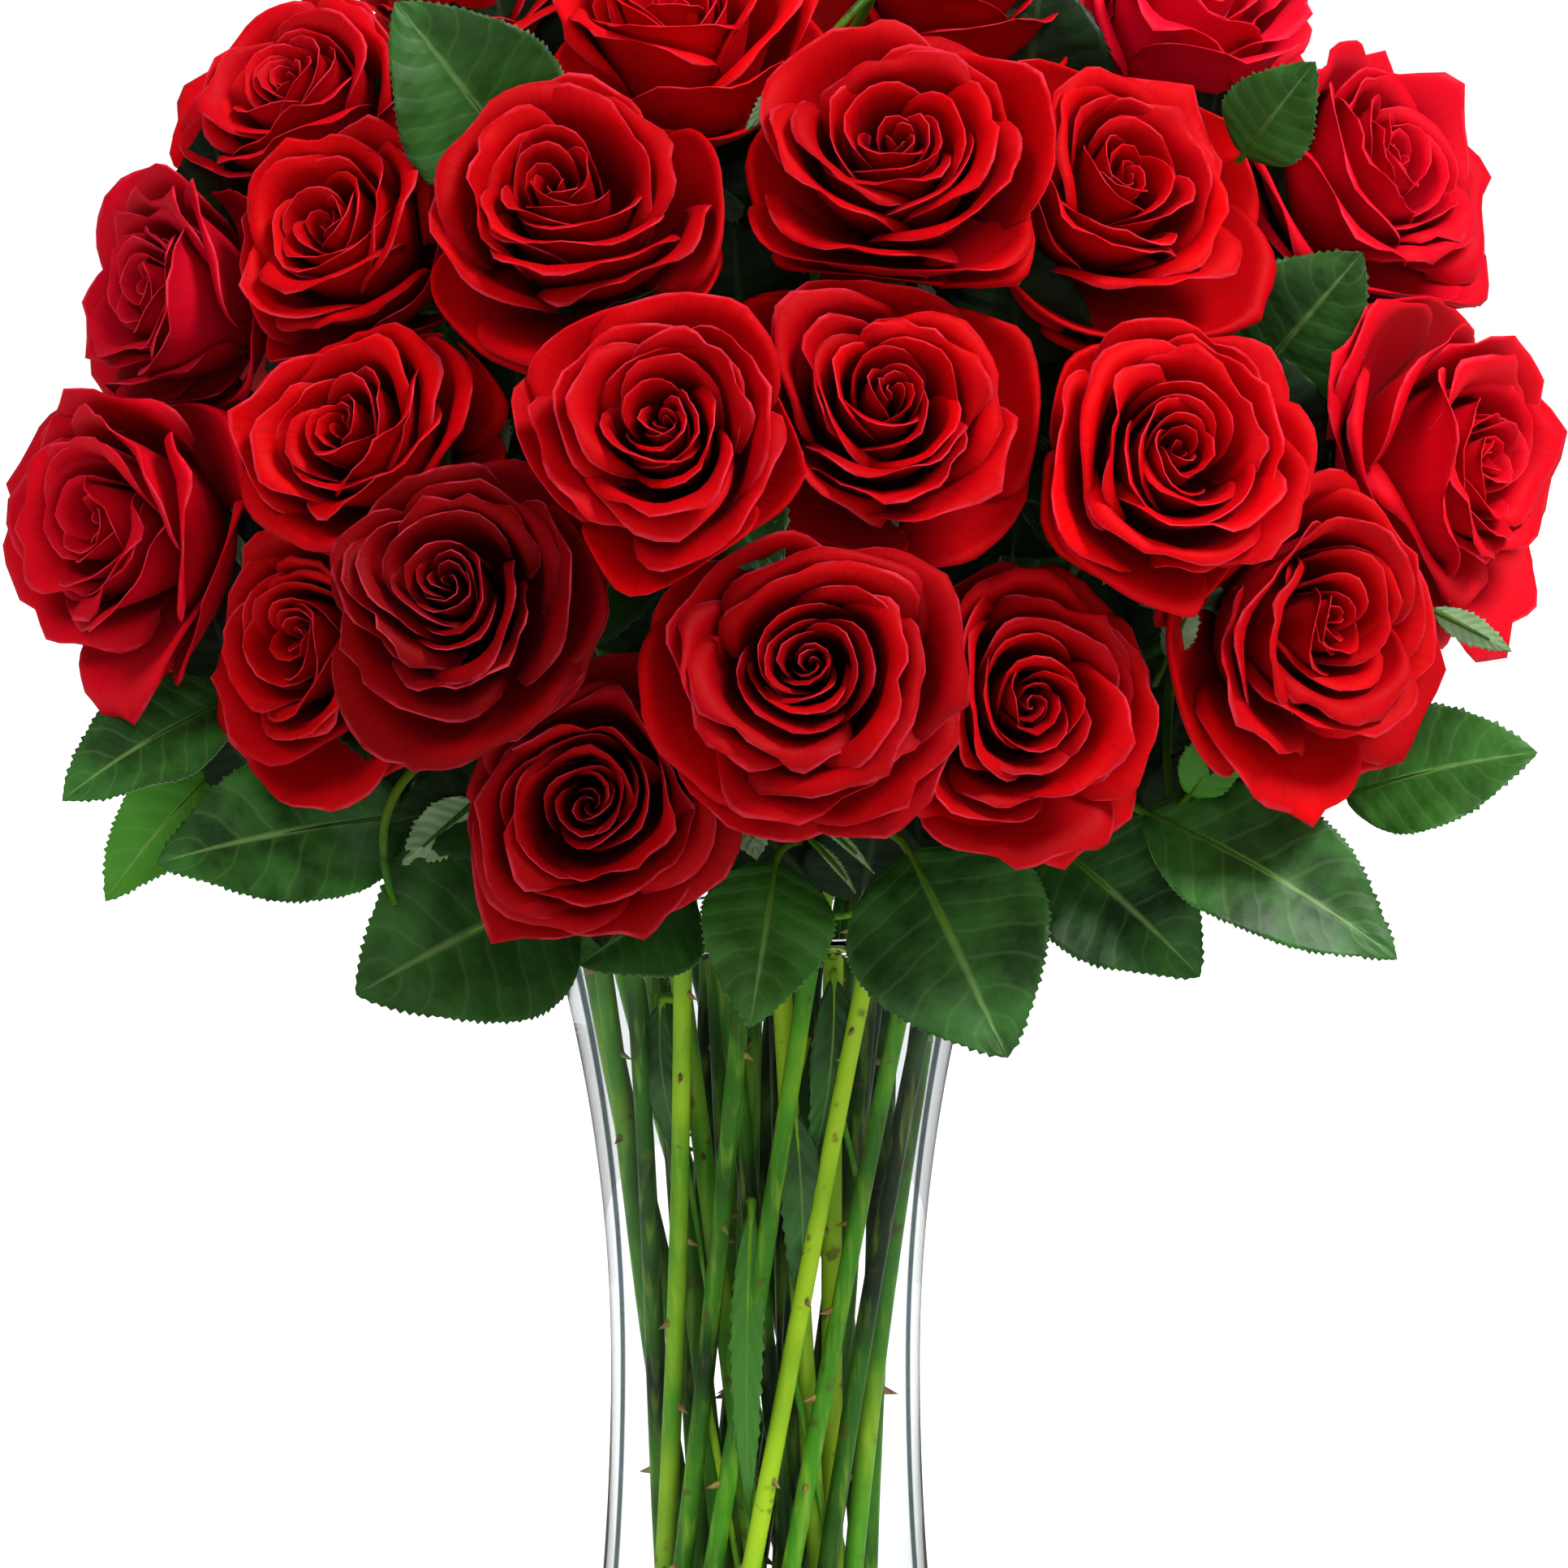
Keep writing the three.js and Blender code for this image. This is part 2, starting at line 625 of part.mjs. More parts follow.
// Every leaf finds the stem point nearest to where its stalk would join, a little below its base.
const STALK = { drop: 12, radii: [1.5, 1.2, 1], sides: 3, bend: 0.35, under: 3 };
for (const rose of roses) rose.leaves = [];
for (const [baseAt, tipAt, facing, width] of LEAVES) {
  const base = vector(baseAt);
  const wanted = base.clone().add(new THREE.Vector3(0, 0, -STALK.drop));
  let best = { distance: Infinity };
  for (const rose of roses)
    rose.path.slice(1, -3).forEach(({ point }, k) => {
      const next = rose.path[k + 2].point;
      for (const t of [0, 0.25, 0.5, 0.75]) {
        const from = point.clone().lerp(next, t);
        const distance = from.distanceTo(wanted);
        if (distance < best.distance) best = { distance, rose, from };
      }
    });
  best.rose.leaves.push({ from: best.from, base, tip: vector(tipAt), facing: vector(facing), width });
}

// A leaf's stalk leaves the stem and runs a little way under the blade's rib.
function leaf({ from, base, tip, facing, width }) {
  const along = tip.clone().sub(base).normalize();
  const reach = from.distanceTo(base);
  const route = new THREE.QuadraticBezierCurve3(
    from,
    base.clone().addScaledVector(along, -STALK.bend * reach),
    base.clone().addScaledVector(along, STALK.under),
  );
  return [
    leafBlade(base, tip, facing, width),
    taperedTube(route.getPoints(STALK.radii.length - 1), STALK.radii, STALK.sides),
  ];
}

// The vase and its water

// The vase's outer radius at a height: a parabola each way from the waist.
function vaseRadius(height) {
  const above = height > VASE.waistHeight;
  const run = above ? VASE.height - VASE.waistHeight : VASE.waistHeight;
  const flare = above ? VASE.mouthFlare : VASE.footFlare;
  return VASE.waistRadius + flare * ((height - VASE.waistHeight) / run) ** 2;
}

const heights = (from, to, count) =>
  Array.from({ length: count }, (_, i) => lerp(from, to, i / (count - 1)));
const OUTSIDE = heights(VASE.edge, VASE.height - VASE.edge, 6);
const INSIDE = heights(VASE.floor + VASE.edge, VASE.height - VASE.edge, 5);

function turned(profile) {
  const points = profile.map(([radius, height]) => new THREE.Vector2(radius, height));
  return solid(new THREE.LatheGeometry(points, VASE.sides).rotateX(Math.PI / 2));
}

function vase() {
  const { height, wall, floor, edge } = VASE;
  return turned([
    [0, 0],
    [vaseRadius(0) - edge, 0],
    ...OUTSIDE.map((z) => [vaseRadius(z), z]),
    [vaseRadius(height) - wall / 2, height],
    ...INSIDE.map((z) => [vaseRadius(z) - wall, z]).reverse(),
    [vaseRadius(floor) - wall - edge, floor],
    [0, floor],
  ]);
}

// The water has the same corners as the vase's inside, so that the two facetings agree, and a plain
// hole for each stem.
const HOLE_DEPTH = 12; // beyond the stem's foot, through the water's bottom

function water() {
  const { wall, floor, edge } = VASE;
  const radiusAt = (z) => vaseRadius(z) - wall - WATER_GAP;
  const below = INSIDE.filter((z) => z < WATER_LEVEL);
  const [last, next] = [below.at(-1), INSIDE[below.length]];
  const share = (WATER_LEVEL - last) / (next - last);
  const body = turned([
    [0, floor + CLEARANCE],
    [vaseRadius(floor) - wall - edge - WATER_GAP, floor + CLEARANCE],
    ...below.map((z) => [radiusAt(z), z]),
    [lerp(radiusAt(last), radiusAt(next), share), WATER_LEVEL],
    [0, WATER_LEVEL],
  ]);
  const holes = roses.map((rose) => {
    const along = rose.neck.clone().sub(rose.foot).normalize();
    const radius = STEM_RADIUS + WATER_GAP;
    const start = rose.foot.clone().addScaledVector(along, -HOLE_DEPTH);
    return taperedTube([start, rose.neck], [radius, radius], STEM_SIDES);
  });
  return body.subtract(wasm.Manifold.union(holes));
}

// Materials and the scene graph

const PETAL_LOOK = { color: 0xb0060f, roughness: 0.6, metalness: 0 };
const LEAF_LOOK = { color: 0x2f5a26, roughness: 0.5, metalness: 0 };
const GLASS_LOOK = {
  color: 0xe8f2f0,
  roughness: 0.05,
  metalness: 0,
  transparent: true,
  opacity: 0.35,
};
const WATER_LOOK = { ...GLASS_LOOK, color: 0xdfeee8, opacity: 0.3 };

const bouquet = new THREE.Group();
function place(name, made, look) {
  const mesh = new THREE.Mesh(geometryOf(made), new THREE.MeshStandardMaterial(look));
  mesh.name = name;
  bouquet.add(mesh);
}

place("vase", vase(), GLASS_LOOK);
place("water", water(), WATER_LOOK);
for (const rose of roses) {
  place(`bloom_${rose.name}`, bloom(rose), PETAL_LOOK);
  const leafyStem = fuse([stalk(rose), ...rose.leaves.flatMap(leaf)]);
  place(`leafy_stem_${rose.name}`, leafyStem, LEAF_LOOK);
}

export default bouquet;
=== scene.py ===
"""Twenty-nine red roses in a clear waisted vase of water, dressed for rendering.

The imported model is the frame: every rose keeps the place, the axis and the neighbours that it has
there. Its blooms get all their petals, its stems their skin, thorns and sepals, its leaves their
saw-toothed edges and veins. Lengths in this file are millimetres until a mesh is made.
"""

import math
from functools import cache

import bpy
import numpy as np
from mathutils import Matrix, Vector


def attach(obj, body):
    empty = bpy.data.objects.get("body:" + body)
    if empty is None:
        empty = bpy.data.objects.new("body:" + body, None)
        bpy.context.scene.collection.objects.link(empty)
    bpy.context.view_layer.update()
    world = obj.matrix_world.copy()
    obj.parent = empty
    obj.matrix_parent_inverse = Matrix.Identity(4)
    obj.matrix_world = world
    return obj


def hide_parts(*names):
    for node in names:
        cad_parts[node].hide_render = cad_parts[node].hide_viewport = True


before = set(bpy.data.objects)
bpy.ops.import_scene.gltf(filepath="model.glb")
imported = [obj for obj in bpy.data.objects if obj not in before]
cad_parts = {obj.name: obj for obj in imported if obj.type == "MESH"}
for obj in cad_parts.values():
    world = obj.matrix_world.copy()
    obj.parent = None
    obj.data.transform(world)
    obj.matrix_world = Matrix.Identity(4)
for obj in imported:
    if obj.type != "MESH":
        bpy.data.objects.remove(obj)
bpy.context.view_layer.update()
MM = 0.001

# The roses: the middle of the rims, the heading of the bloom's axis round from the front and its
# pitch above level in degrees, its size against a 78 mm bloom, and the way that its loosest petal
# hangs: 0 is to its right, seen from the front, and 90 is up.
ROSES = {
    "01": ((-132, -42, 479), -38, 35, 0.96, 150),
    "02": ((-119, -86, 441), -31, 27, 0.95, -15),
    "03": ((-53, -124, 453), -8, 36, 1.04, 5),
    "04": ((36, -124, 464), 0, 33, 1.02, -60),
    "05": ((98, -92, 455), 24, 32, 0.98, -25),
    "06": ((176, -30, 458), 50, 30, 0.98, -85),
    "07": ((-171, -55, 422), -58, 12, 0.93, 200),
    "08": ((-112, -119, 388), -24, 22, 0.92, -75),
    "09": ((-27, -176, 392), -8, 20, 0.95, 130),
    "10": ((33, -142, 397), 9, 22, 1.0, 10),
    "11": ((110, -138, 383), 15, 17, 1.0, -115),
    "12": ((199, -60, 377), 54, 5, 1.07, -70),
    "13": ((-185, -76, 360), -50, 5, 1.03, -80),
    "14": ((-83, -160, 349), -14, 16, 0.92, -70),
    "15": ((-126, -106, 330), -34, 2, 0.92, -80),
    "16": ((11, -172, 329), -3, 10, 1.04, -170),
    "17": ((72, -134, 316), 16, 6, 0.96, -85),
    "18": ((154, -106, 335), 34, 4, 1.05, -105),
    "19": ((-47, -140, 290), -6, 4, 0.98, -80),
    "20": ((119, -18, 505), 40, 60, 1.05, 60),
    "21": ((-23, -70, 502), -8, 58, 1.0, 95),
    "22": ((53, -28, 514), 12, 66, 1.0, 90),
    "23": ((-81, -18, 509), -30, 62, 0.98, 120),
    "24": ((-150, 30, 432), -100, 32, 0.95, 180),
    "25": ((176, 48, 418), 100, 22, 0.95, 15),
    "26": ((-92, 88, 408), -148, 22, 1.0, -90),
    "27": ((4, 104, 424), 180, 26, 1.0, -90),
    "28": ((96, 92, 402), 146, 22, 1.0, -90),
    "29": ((12, 48, 496), 178, 62, 0.98, -60),
}

# Further large petals that lie wide open, by their ways as above.
OPEN_PETALS = {
    "01": (200,),
    "02": (250,),
    "03": (-80,),
    "04": (-120,),
    "05": (-100, 20),
    "06": (-28, -62, 175),
    "07": (260,),
    "09": (185,),
    "10": (165,),
    "11": (-20,),
    "12": (190, 110),
    "13": (180,),
    "14": (10,),
    "15": (200, 0),
    "16": (-50,),
    "17": (10,),
    "18": (-20,),
    "19": (-150,),
}

# Blooms darkened by painted shade, blooms lightened by painted light, and more crimson blooms among
# them, from 0 to 1. The crimson ones are older, and their margins rougher.
PAINTED_BLOOM_SHADE = {"14": 1, "19": 0.6, "16": 0.4, "15": 0.25, "03": 0.17, "17": 0.13, "07": 0.34, "13": 0.1}
PAINTED_BLOOM_LIGHT = {"20": 1, "06": 0.5, "12": 0.55, "11": 0.3, "05": 0.2, "18": 0.1, "21": 0.5}
CRIMSON = {"20": 1, "06": 0.6, "07": 0.6, "13": 0.4, "12": 0.4, "01": 0.15}

# How far the widest petals of some blooms reach, and how much of the room between them they take,
# against the other blooms
REACH = {
    "05": 1.12,
    "06": 1.05,
    "09": 0.93,
    "10": 1.05,
    "11": 0.9,
    "16": 0.96,
    "17": 0.9,
    "19": 0.78,
    "20": 1.1,
}
ROOM = {"05": 1.08, "09": 0.88, "10": 1.2, "11": 0.88, "19": 0.85}
BLOOM_HEIGHT = 48  # from a bloom's base to the plane of its rims
BLOOM_MIDDLE = 0.45  # of its height below the rims
NEIGHBOUR_REACH = 130
PRESS_MARGIN = 0.9  # from a petal to the plane between its bloom and the next
LEAST_ROOM = 4  # from a bloom's axis to such a plane
SQUEEZE_SHARPNESS = 10
FULL_SQUEEZE = 0.9  # a bloom that is drawn in by this share is drawn in alike all through
SQUEEZE_POWERS = 0.05, 1.1  # of how far out a petal lies, at a full squeeze and at a weak one

# A petal for a bloom of size 1. Its claw is the narrow foot that it grows from.
GOLDEN_TURN = math.radians(137.5)
INNER_PETALS = 14
CLAW_RADIUS = 4.2
CLAW_HEIGHT = 2.5
CUP_HEIGHT = 46  # where the outer petals are widest
CUP_FOOT = 5  # their radius at the bloom's base
CUP_SPREAD = 34  # and how much it grows up to there
CUP_ROWS = 6
LIP_STEPS = (0, 0.2, 0.42, 0.64, 0.84, 1)  # of the lip's length, finest at its rim
HEART_COLUMNS, MIDDLE_COLUMNS, OUTSIDE_COLUMNS = 9, 15, 21
PETAL_FOOT_THICKNESS = 0.6
PETAL_RIM_THICKNESS = 0.25

# The outer petals: the quarter turns from the loosest one, radius and height where the lip starts,
# the slope there, the lip's length, half the span in degrees, and how far out in the bloom.
OUTER_PETALS = (
    ((0.45, 1.8, 3.1), 20.5, 43, 76, 6.5, 78, 0.8),
    ((0.2, 1.5, 2.9), 25.5, 40, 70, 7, 76, 0.85),
    ((0.9, 2.2, 3.4), 31, 35.5, 56, 7, 66, 0.92),
    ((0.5, 1.5, 2.5, 3.5), 40.5, 23, 26, 6.5, 54, 1),
    ((0,), 41.5, 30.5, 36, 6.5, 52, 1),
)
OPEN_PETAL = ((), 41, 28, 34, 6.5, 54, 1)

# The vase and its water
VASE = {
    "height": 245,
    "waist_height": 120,
    "waist_radius": 43.3,
    "mouth_flare": 17.7,
    "foot_flare": 9.5,
    "wall": 4,
    "floor": 14,
}
WATER_LEVEL = 240
FOOT_HOLLOW = 1.2  # under the foot, inside the ring that it stands on
HOLLOW_MARGIN = 12  # from the foot's edge to the hollow's
FOOT_RING = 1.6
RING_MARGIN = 6  # and to the middle of that ring
FOOT_ROUNDING = 3
CORNER_RADIUS = 5  # between the inside's floor and its wall
FLOOR_MARGIN = 6  # from that corner's middle to the flat of the floor
WALL_MARGIN = 1  # and up to the wall
WATER_OVERLAP = 0.15  # of the water into the glass
MENISCUS = (0.4, 0.9), (1.2, 0.35), (3, 0)  # in from the wall, and above the water's level
WATER_EDGE = 1.4  # above its level, in the glass
WATER_SIDE_END = 1.2  # below its level
WALL_STEPS, WATER_SIDE_STEPS = 60, 50

# Rings of stems, from the outside in: how many, the radius at the neck and on the floor, and the
# twist in degrees between them.
STEM_RINGS = ((14, 37, 23, 75), (11, 24, 14.5, -68), (4, 10.5, 6.5, 58))
STEM_RADIUS = 2.35
STEM_FOOT = 1.2  # from the vase's floor up to the middle of a stem's cut end
STEM_SPACING = 0.9
HIP = ((15, STEM_RADIUS), (6, 5.6), (0, 4.8))  # below the bloom's base, and radius
FREE_SHARES = (0.22, 0.48, 0.74)  # of the way from the neck to the hip, where a stem may bend
PARTING_ROUNDS = 160  # in which crossing stems are bent clear of each other
EASED_ROUNDS = 80  # after which their bends are no longer eased
EASING = 0.02
NEARLY_SHORT = 0.3  # past that spacing, up to which a pair of stretches is looked at
NECK_ARM = 0.3  # how far a stem keeps its line above the neck, of its way to the hip
HIP_ARM = 0.35  # and the bloom's line below the hip
ROUNDING = 0.3  # of the shorter stretch at a bend
ROUNDING_STEPS = 4
THORN_SPACING = 24
THORN_LENGTH = 4.2
THORN_RADIUS = 1.5
THORN_TIP = 0.05
THORN_LIFT = 1.6  # from the stem's axis to the middle of a thorn's foot
THORN_LEAN = 112  # degrees from the way that the stem grows
THORN_FLATNESS = 0.55
THORN_CHANCE = 0.5

# How young a stem's bark is, from 0 to 1: those in front by their roses, and the others.
STEM_TONES = {
    "17": 1,
    "19": 0.65,
    "16": 0.38,
    "11": 0.45,
    "18": 0.1,
    "09": 0.2,
    "14": 0.15,
    "02": 0.5,
    "03": 0.05,
    "10": 0.8,
    "04": 0.9,
    "05": 0.15,
    "01": 0.3,
}
OTHER_TONES = 0, 0.2, 0.5

# Leaves left on the stems under water, between the two outer rings: the heading round the vase and
# the height of the blade's base and tip, its width, and how young it is.
SUNK_LEAVES = (
    ((16, 196), (24, 136), 11, 0.2),
    ((-8, 169), (-12, 78), 8, 1),
    ((-58, 226), (-50, 178), 12, 0.1),
    ((34, 234), (28, 180), 12, 0.2),
)
SUNK_SHADE = 0.2

# Thin side shoots there, from place to place in the same way, and how bright each is
SIDE_SHOOTS = (
    ((22, 216), (-12, 140), 0.9),
    ((30, 210), (62, 176), 0.6),
    ((-64, 228), (-40, 140), 0.35),
    ((14, 128), (62, 58), 0.5),
    ((-46, 112), (-8, 40), 0.7),
    ((-20, 200), (-44, 120), 0.2),
)

# Leaves: the blade's base and tip, the way that its upper side faces, and its width.
LEAVES = (
    ((-142, -60, 311), (-189, -74, 284), (-0.2, -0.8, 0.5), 35),
    ((-146, -38, 293), (-180, -46, 254), (-0.3, -0.9, 0.3), 28),
    ((-95, -66, 279), (-163, -84, 268), (0, -0.9, 0.45), 46),
    ((-53, -70, 260), (-109, -96, 234), (0.1, -0.95, 0.4), 60),
    ((3, -70, 267), (-4, -94, 225), (0.1, -0.9, 0.4), 36),
    ((39, -72, 270), (65, -96, 217), (-0.1, -0.9, 0.35), 56),
    ((76, -62, 273), (117, -80, 237), (0, -0.9, 0.4), 45),
    ((102, -76, 281), (169, -92, 243), (0, -0.8, 0.6), 44),
    ((158, -50, 283), (209, -62, 296), (0.2, -0.8, 0.5), 38),
    ((129, -50, 392), (161, -60, 431), (0.2, -0.9, 0.4), 42),
    ((129, -56, 457), (147, -74, 482), (0.1, -0.9, 0.3), 26),
    ((-62, -70, 449), (-98, -87, 498), (-0.1, -0.9, 0.4), 48),
    ((-20, -54, 256), (-50, -70, 239), (0, -0.9, 0.4), 38),
    ((50, -50, 257), (81, -66, 274), (0, -1, 0.3), 38),
    ((-65, -58, 261), (-95, -74, 289), (-0.1, -1, 0.2), 34),
    ((-132, 22, 330), (-176, 34, 296), (-0.6, 0.3, 0.7), 40),
    ((-82, 62, 306), (-118, 104, 276), (-0.3, 0.6, 0.7), 44),
    ((-48, 96, 336), (-56, 132, 292), (0, 0.9, 0.4), 40),
    ((2, 84, 312), (6, 128, 268), (0, 0.8, 0.6), 44),
    ((78, 62, 304), (112, 102, 272), (0.3, 0.6, 0.7), 44),
    ((46, 94, 338), (54, 132, 296), (0, 0.9, 0.4), 40),
    ((134, 40, 316), (172, 66, 280), (0.6, 0.4, 0.7), 40),
    ((-38, 78, 452), (-66, 106, 470), (-0.2, 0.8, 0.5), 38),
    ((58, 78, 456), (88, 100, 474), (0.2, 0.8, 0.5), 38),
)
YOUNGEST_LEAF = 1  # in that list
# The listed leaves that lie in the bouquet's shadow are darkened with painted shade.
PAINTED_SHADE_OF_LEAVES = {3: 0.5, 9: 0.35, 10: 0.25, 11: 0.45, 12: 0.4}  # darker ones there, from 0 to 1

# Small dark leaves in the shade behind those, drawn the same way; their dark is painted shade
SHADE_LEAVES = (
    ((15, -48, 256), (-9, -64, 283), (0, -1, 0.2), 36),
    ((26, -50, 254), (31, -62, 283), (0.1, -1, 0.2), 36),
    ((110, -52, 270), (129, -66, 301), (0.1, -1, 0.2), 32),
    ((-30, -50, 262), (-40, -66, 292), (0, -1, 0.2), 38),
    ((60, -48, 262), (70, -60, 294), (0, -1, 0.2), 38),
    ((-10, -58, 300), (-22, -78, 330), (0, -1, 0.2), 38),
    ((40, -70, 330), (46, -88, 362), (0, -1, 0.2), 40),
    ((-52, -84, 330), (-40, -96, 366), (0, -1, 0.2), 38),
    ((66, -80, 350), (72, -92, 384), (0, -1, 0.2), 38),
    ((0, -100, 350), (4, -112, 384), (0, -1, 0.2), 40),
    ((-66, -90, 392), (-64, -98, 428), (0, -1, 0.3), 40),
    ((-6, -92, 404), (-8, -98, 440), (0, -1, 0.3), 40),
    ((66, -84, 400), (68, -92, 436), (0, -1, 0.3), 40),
    ((132, -64, 372), (138, -76, 404), (0.3, -0.9, 0.3), 38),
    ((-118, -70, 346), (-124, -84, 378), (-0.3, -0.9, 0.3), 38),
    ((-92, -30, 300), (-100, -34, 346), (0, -1, 0), 46),
    ((-30, -34, 318), (-34, -36, 364), (0, -1, 0), 48),
    ((20, -34, 314), (24, -36, 362), (0, -1, 0), 48),
    ((72, -34, 312), (82, -36, 358), (0, -1, 0), 48),
    ((118, -30, 316), (128, -32, 360), (0, -1, 0), 46),
    ((-74, -34, 360), (-78, -36, 406), (0, -1, 0), 48),
    ((-22, -40, 376), (-26, -42, 424), (0, -1, 0), 48),
    ((28, -40, 376), (30, -42, 424), (0, -1, 0), 48),
    ((46, -44, 396), (46, -46, 444), (0, -1, 0), 46),
    ((-142, -24, 352), (-152, -28, 400), (-0.3, -1, 0), 46),
    ((-146, -20, 312), (-158, -26, 356), (-0.3, -1, 0), 42),
    ((-118, -26, 400), (-124, -30, 446), (-0.2, -1, 0), 44),
    ((-92, -44, 282), (-112, -52, 318), (-0.2, -1, 0.1), 42),
    ((-132, -34, 344), (-140, -38, 388), (-0.3, -1, 0), 40),
    ((88, -36, 304), (100, -38, 350), (0.2, -1, 0), 44),
    ((138, -28, 342), (150, -32, 388), (0.3, -1, 0), 44),
    ((70, -30, 464), (76, -32, 508), (0, -1, 0.1), 44),
    ((112, -28, 434), (124, -30, 478), (0.2, -1, 0), 44),
    ((-94, -30, 434), (-102, -34, 480), (-0.2, -1, 0), 44),
    ((-136, -24, 424), (-152, -28, 466), (-0.3, -1, 0), 42),
    ((-68, -26, 466), (-74, -28, 510), (0, -1, 0.1), 42),
    ((-10, -34, 458), (-14, -36, 504), (0, -1, 0.1), 44),
    ((76, -38, 372), (84, -40, 420), (0, -1, 0), 48),
    ((112, -30, 400), (118, -32, 446), (0, -1, 0), 46),
    ((-62, -30, 414), (-66, -32, 460), (0, -1, 0), 48),
    ((4, -36, 428), (2, -38, 474), (0, -1, 0), 48),
    ((62, -34, 426), (68, -36, 472), (0, -1, 0), 48),
    ((50, -40, 334), (64, -42, 372), (0, -1, 0), 40),
    ((136, -26, 430), (146, -28, 474), (0.3, -1, 0), 40),
    ((42, -40, 254), (42, -42, 300), (0, -1, 0), 40),
    ((34, -38, 334), (36, -40, 382), (0, -1, 0), 44),
    ((108, -30, 288), (120, -34, 322), (0.1, -1, 0), 38),
    ((-140, -40, 308), (-152, -46, 338), (-0.3, -1, 0), 34),
    ((-86, -44, 260), (-104, -50, 283), (0, -1, 0), 28),
    ((98, -40, 268), (104, -44, 304), (0, -1, 0), 28),
    ((-134, -44, 284), (-151, -52, 306), (-0.3, -1, 0), 24),
)

# Young leaves that turn their pale undersides to the front, in gaps between blooms
PALE_LEAVES = (
    ((-82, -98, 418), (-62, -102, 404), (0, 1, 0), 13),
    ((-76, -96, 392), (-68, -100, 379), (0, 1, 0), 9),
    ((50, -92, 416), (70, -96, 432), (0, 1, 0), 14),
    ((107, -98, 324), (114, -102, 340), (0, 1, 0), 9),
    ((180, -64, 335), (201, -70, 324), (0, 1, 0), 8),
    ((114, -80, 286), (127, -88, 308), (0, -1, 0), 16),
    ((-6, -98, 290), (-2, -104, 271), (0, 1, 0), 12),
    ((-77, -84, 285), (-97, -88, 268), (0, 1, 0), 14),
    ((10, -98, 284), (29, -110, 268), (0.3, 1, 0.3), 3.6),
    ((12, -98, 276), (24, -112, 263), (0.3, 1, 0.3), 3.2),
    ((11, -103, 481), (-5, -107, 464), (0, 1, 0), 7),
)

# Pale stalks that arch over the front, each with the rose whose stem it grows from
ARCHED_STALKS = (
    ("15", ((-85, -92, 300), (-108, -108, 289), (-99, -90, 258))),
    ("21", ((14, -70, 476), (44, -92, 520), (11, -103, 481))),
)

# Blades and stalks
LEAF_THICKNESS = 0.45
OLDER_LEAF_FRESHNESS = 0.35  # at most, where a leaf's list doesn't say
STALK_RADIUS = 1.5  # at the stem, and down to the rib's end
RIB_RADIUS = 0.35
STALK_DROP = 12  # from a leaf's base down to where its stalk leaves the stem
STALK_ARM = 0.35  # how far a stalk arrives along the blade's line, of its length
RIB_END = 0.8  # of the blade's length
STALK_TONE = 0.6
ARCH_TONE = 0.8
ARCH_STEPS = 14
SHOOT_RADIUS = 1.1
SHOOT_TIP = 0.6
FINE_TEETH, COARSE_TEETH = 1.8, 4.5  # from tooth to tooth
TOOTH_DEPTH = 0.75
TOOTH_SWEEP = 0.6  # towards the leaf's tip
ACROSS_FINE = -1, -0.93, -0.7, -0.45, -0.2, 0, 0.2, 0.45, 0.7, 0.93, 1
ACROSS_COARSE = -1, -0.88, -0.45, 0, 0.45, 0.88, 1
TOOTH_UNEVENNESS = 0.4, 1.3
LEAF_OUTLINE = 0.78, 0.85  # powers: where along it the blade is widest, and how full it is
LEAF_WAVE = 0.6, 1.2  # how far its edges wave up and down
LEAF_WAVES = 15, 14  # their turns from base to tip in radians, on the left and the right
LEAF_ARCH = 0.07  # of its length
LEAF_FOLD = 0.2  # of the way out from its rib
VEIN_PAIRS = 8
VEIN_SWEEP = 0.2  # of the leaf's length, from the rib to the edge
VEIN_SWELL = 0.8
SEPALS = 5
SEPAL_LENGTH = 22, 30
SEPAL_BEND = (35, 65), (110, 190)  # degrees from the bloom's axis, at its foot and at its tip
SEPAL_WIDTH = 6.2
SEPAL_THICKNESS = 0.55
SEPAL_FOOT = 4.3, -1.5  # out from the bloom's axis and up from its base

# The small leaves under a bloom: each one's share of the way down its stem, and its turn round it,
# then their stalks' reach, their length and their width
SPRAY = (0.08, 0), (0.3, 2.2), (0.55, 4.3)
SPRAY_REACH = 8, 14
SPRAY_LENGTH = 36, 50
SPRAY_WIDTH = 26, 34

# The stage
FOCUS = Vector((5.2, 0, 282.06)) * MM
CAMERA_DISTANCE = 2.2
CAMERA_RISE = math.radians(5)
SEEN_WIDTH = 0.4366  # at the focus, across the photo's 1932 pixels
SENSOR = 36
FAR_END = 30
LIGHT_OF_ROOM = 0.26  # its strength as light on matt surfaces, against how bright it looks
MIRRORED_ROOM = 0.15  # and as it is mirrored in gloss
# Each sun's heading and pitch above level in degrees, its strength, how many degrees it spreads
# over, and whether gloss mirrors it
SUNS = (
    ("key", 54, 50, 4.5, 20, True),
    ("left", -46, 48, 1.7, 30, False),
    ("front_fill", 14, 14, 0.7, 40, False),
)
FLOOR_HALF = 9
FLOOR_DROP = 0.0004  # under the vase's foot


def lerp(a, b, share):
    return a + (b - a) * share


def unit(v):
    v = np.asarray(v, float)
    return v / np.maximum(np.linalg.norm(v, axis=-1, keepdims=True), 1e-12)


def smooth(x):
    x = np.clip(x, 0, 1)
    return x * x * (3 - 2 * x)


def bezier_point(a, b, c, t):
    return lerp(lerp(a, b, t), lerp(b, c, t), t)


def walk(angles, step):
    """Where equal steps lead: how far along the line that their angles are measured from, and how
    far off it."""
    return [np.concatenate([[0], np.cumsum(part(angles) * step)]) for part in (np.cos, np.sin)]


def direction(heading, pitch):
    """The unit vector of a heading (0 is the front, 90 the right) and a pitch above level."""
    h, p = math.radians(heading), math.radians(pitch)
    return np.array([math.sin(h) * math.cos(p), -math.cos(h) * math.cos(p), math.sin(p)])


# Nodes and materials


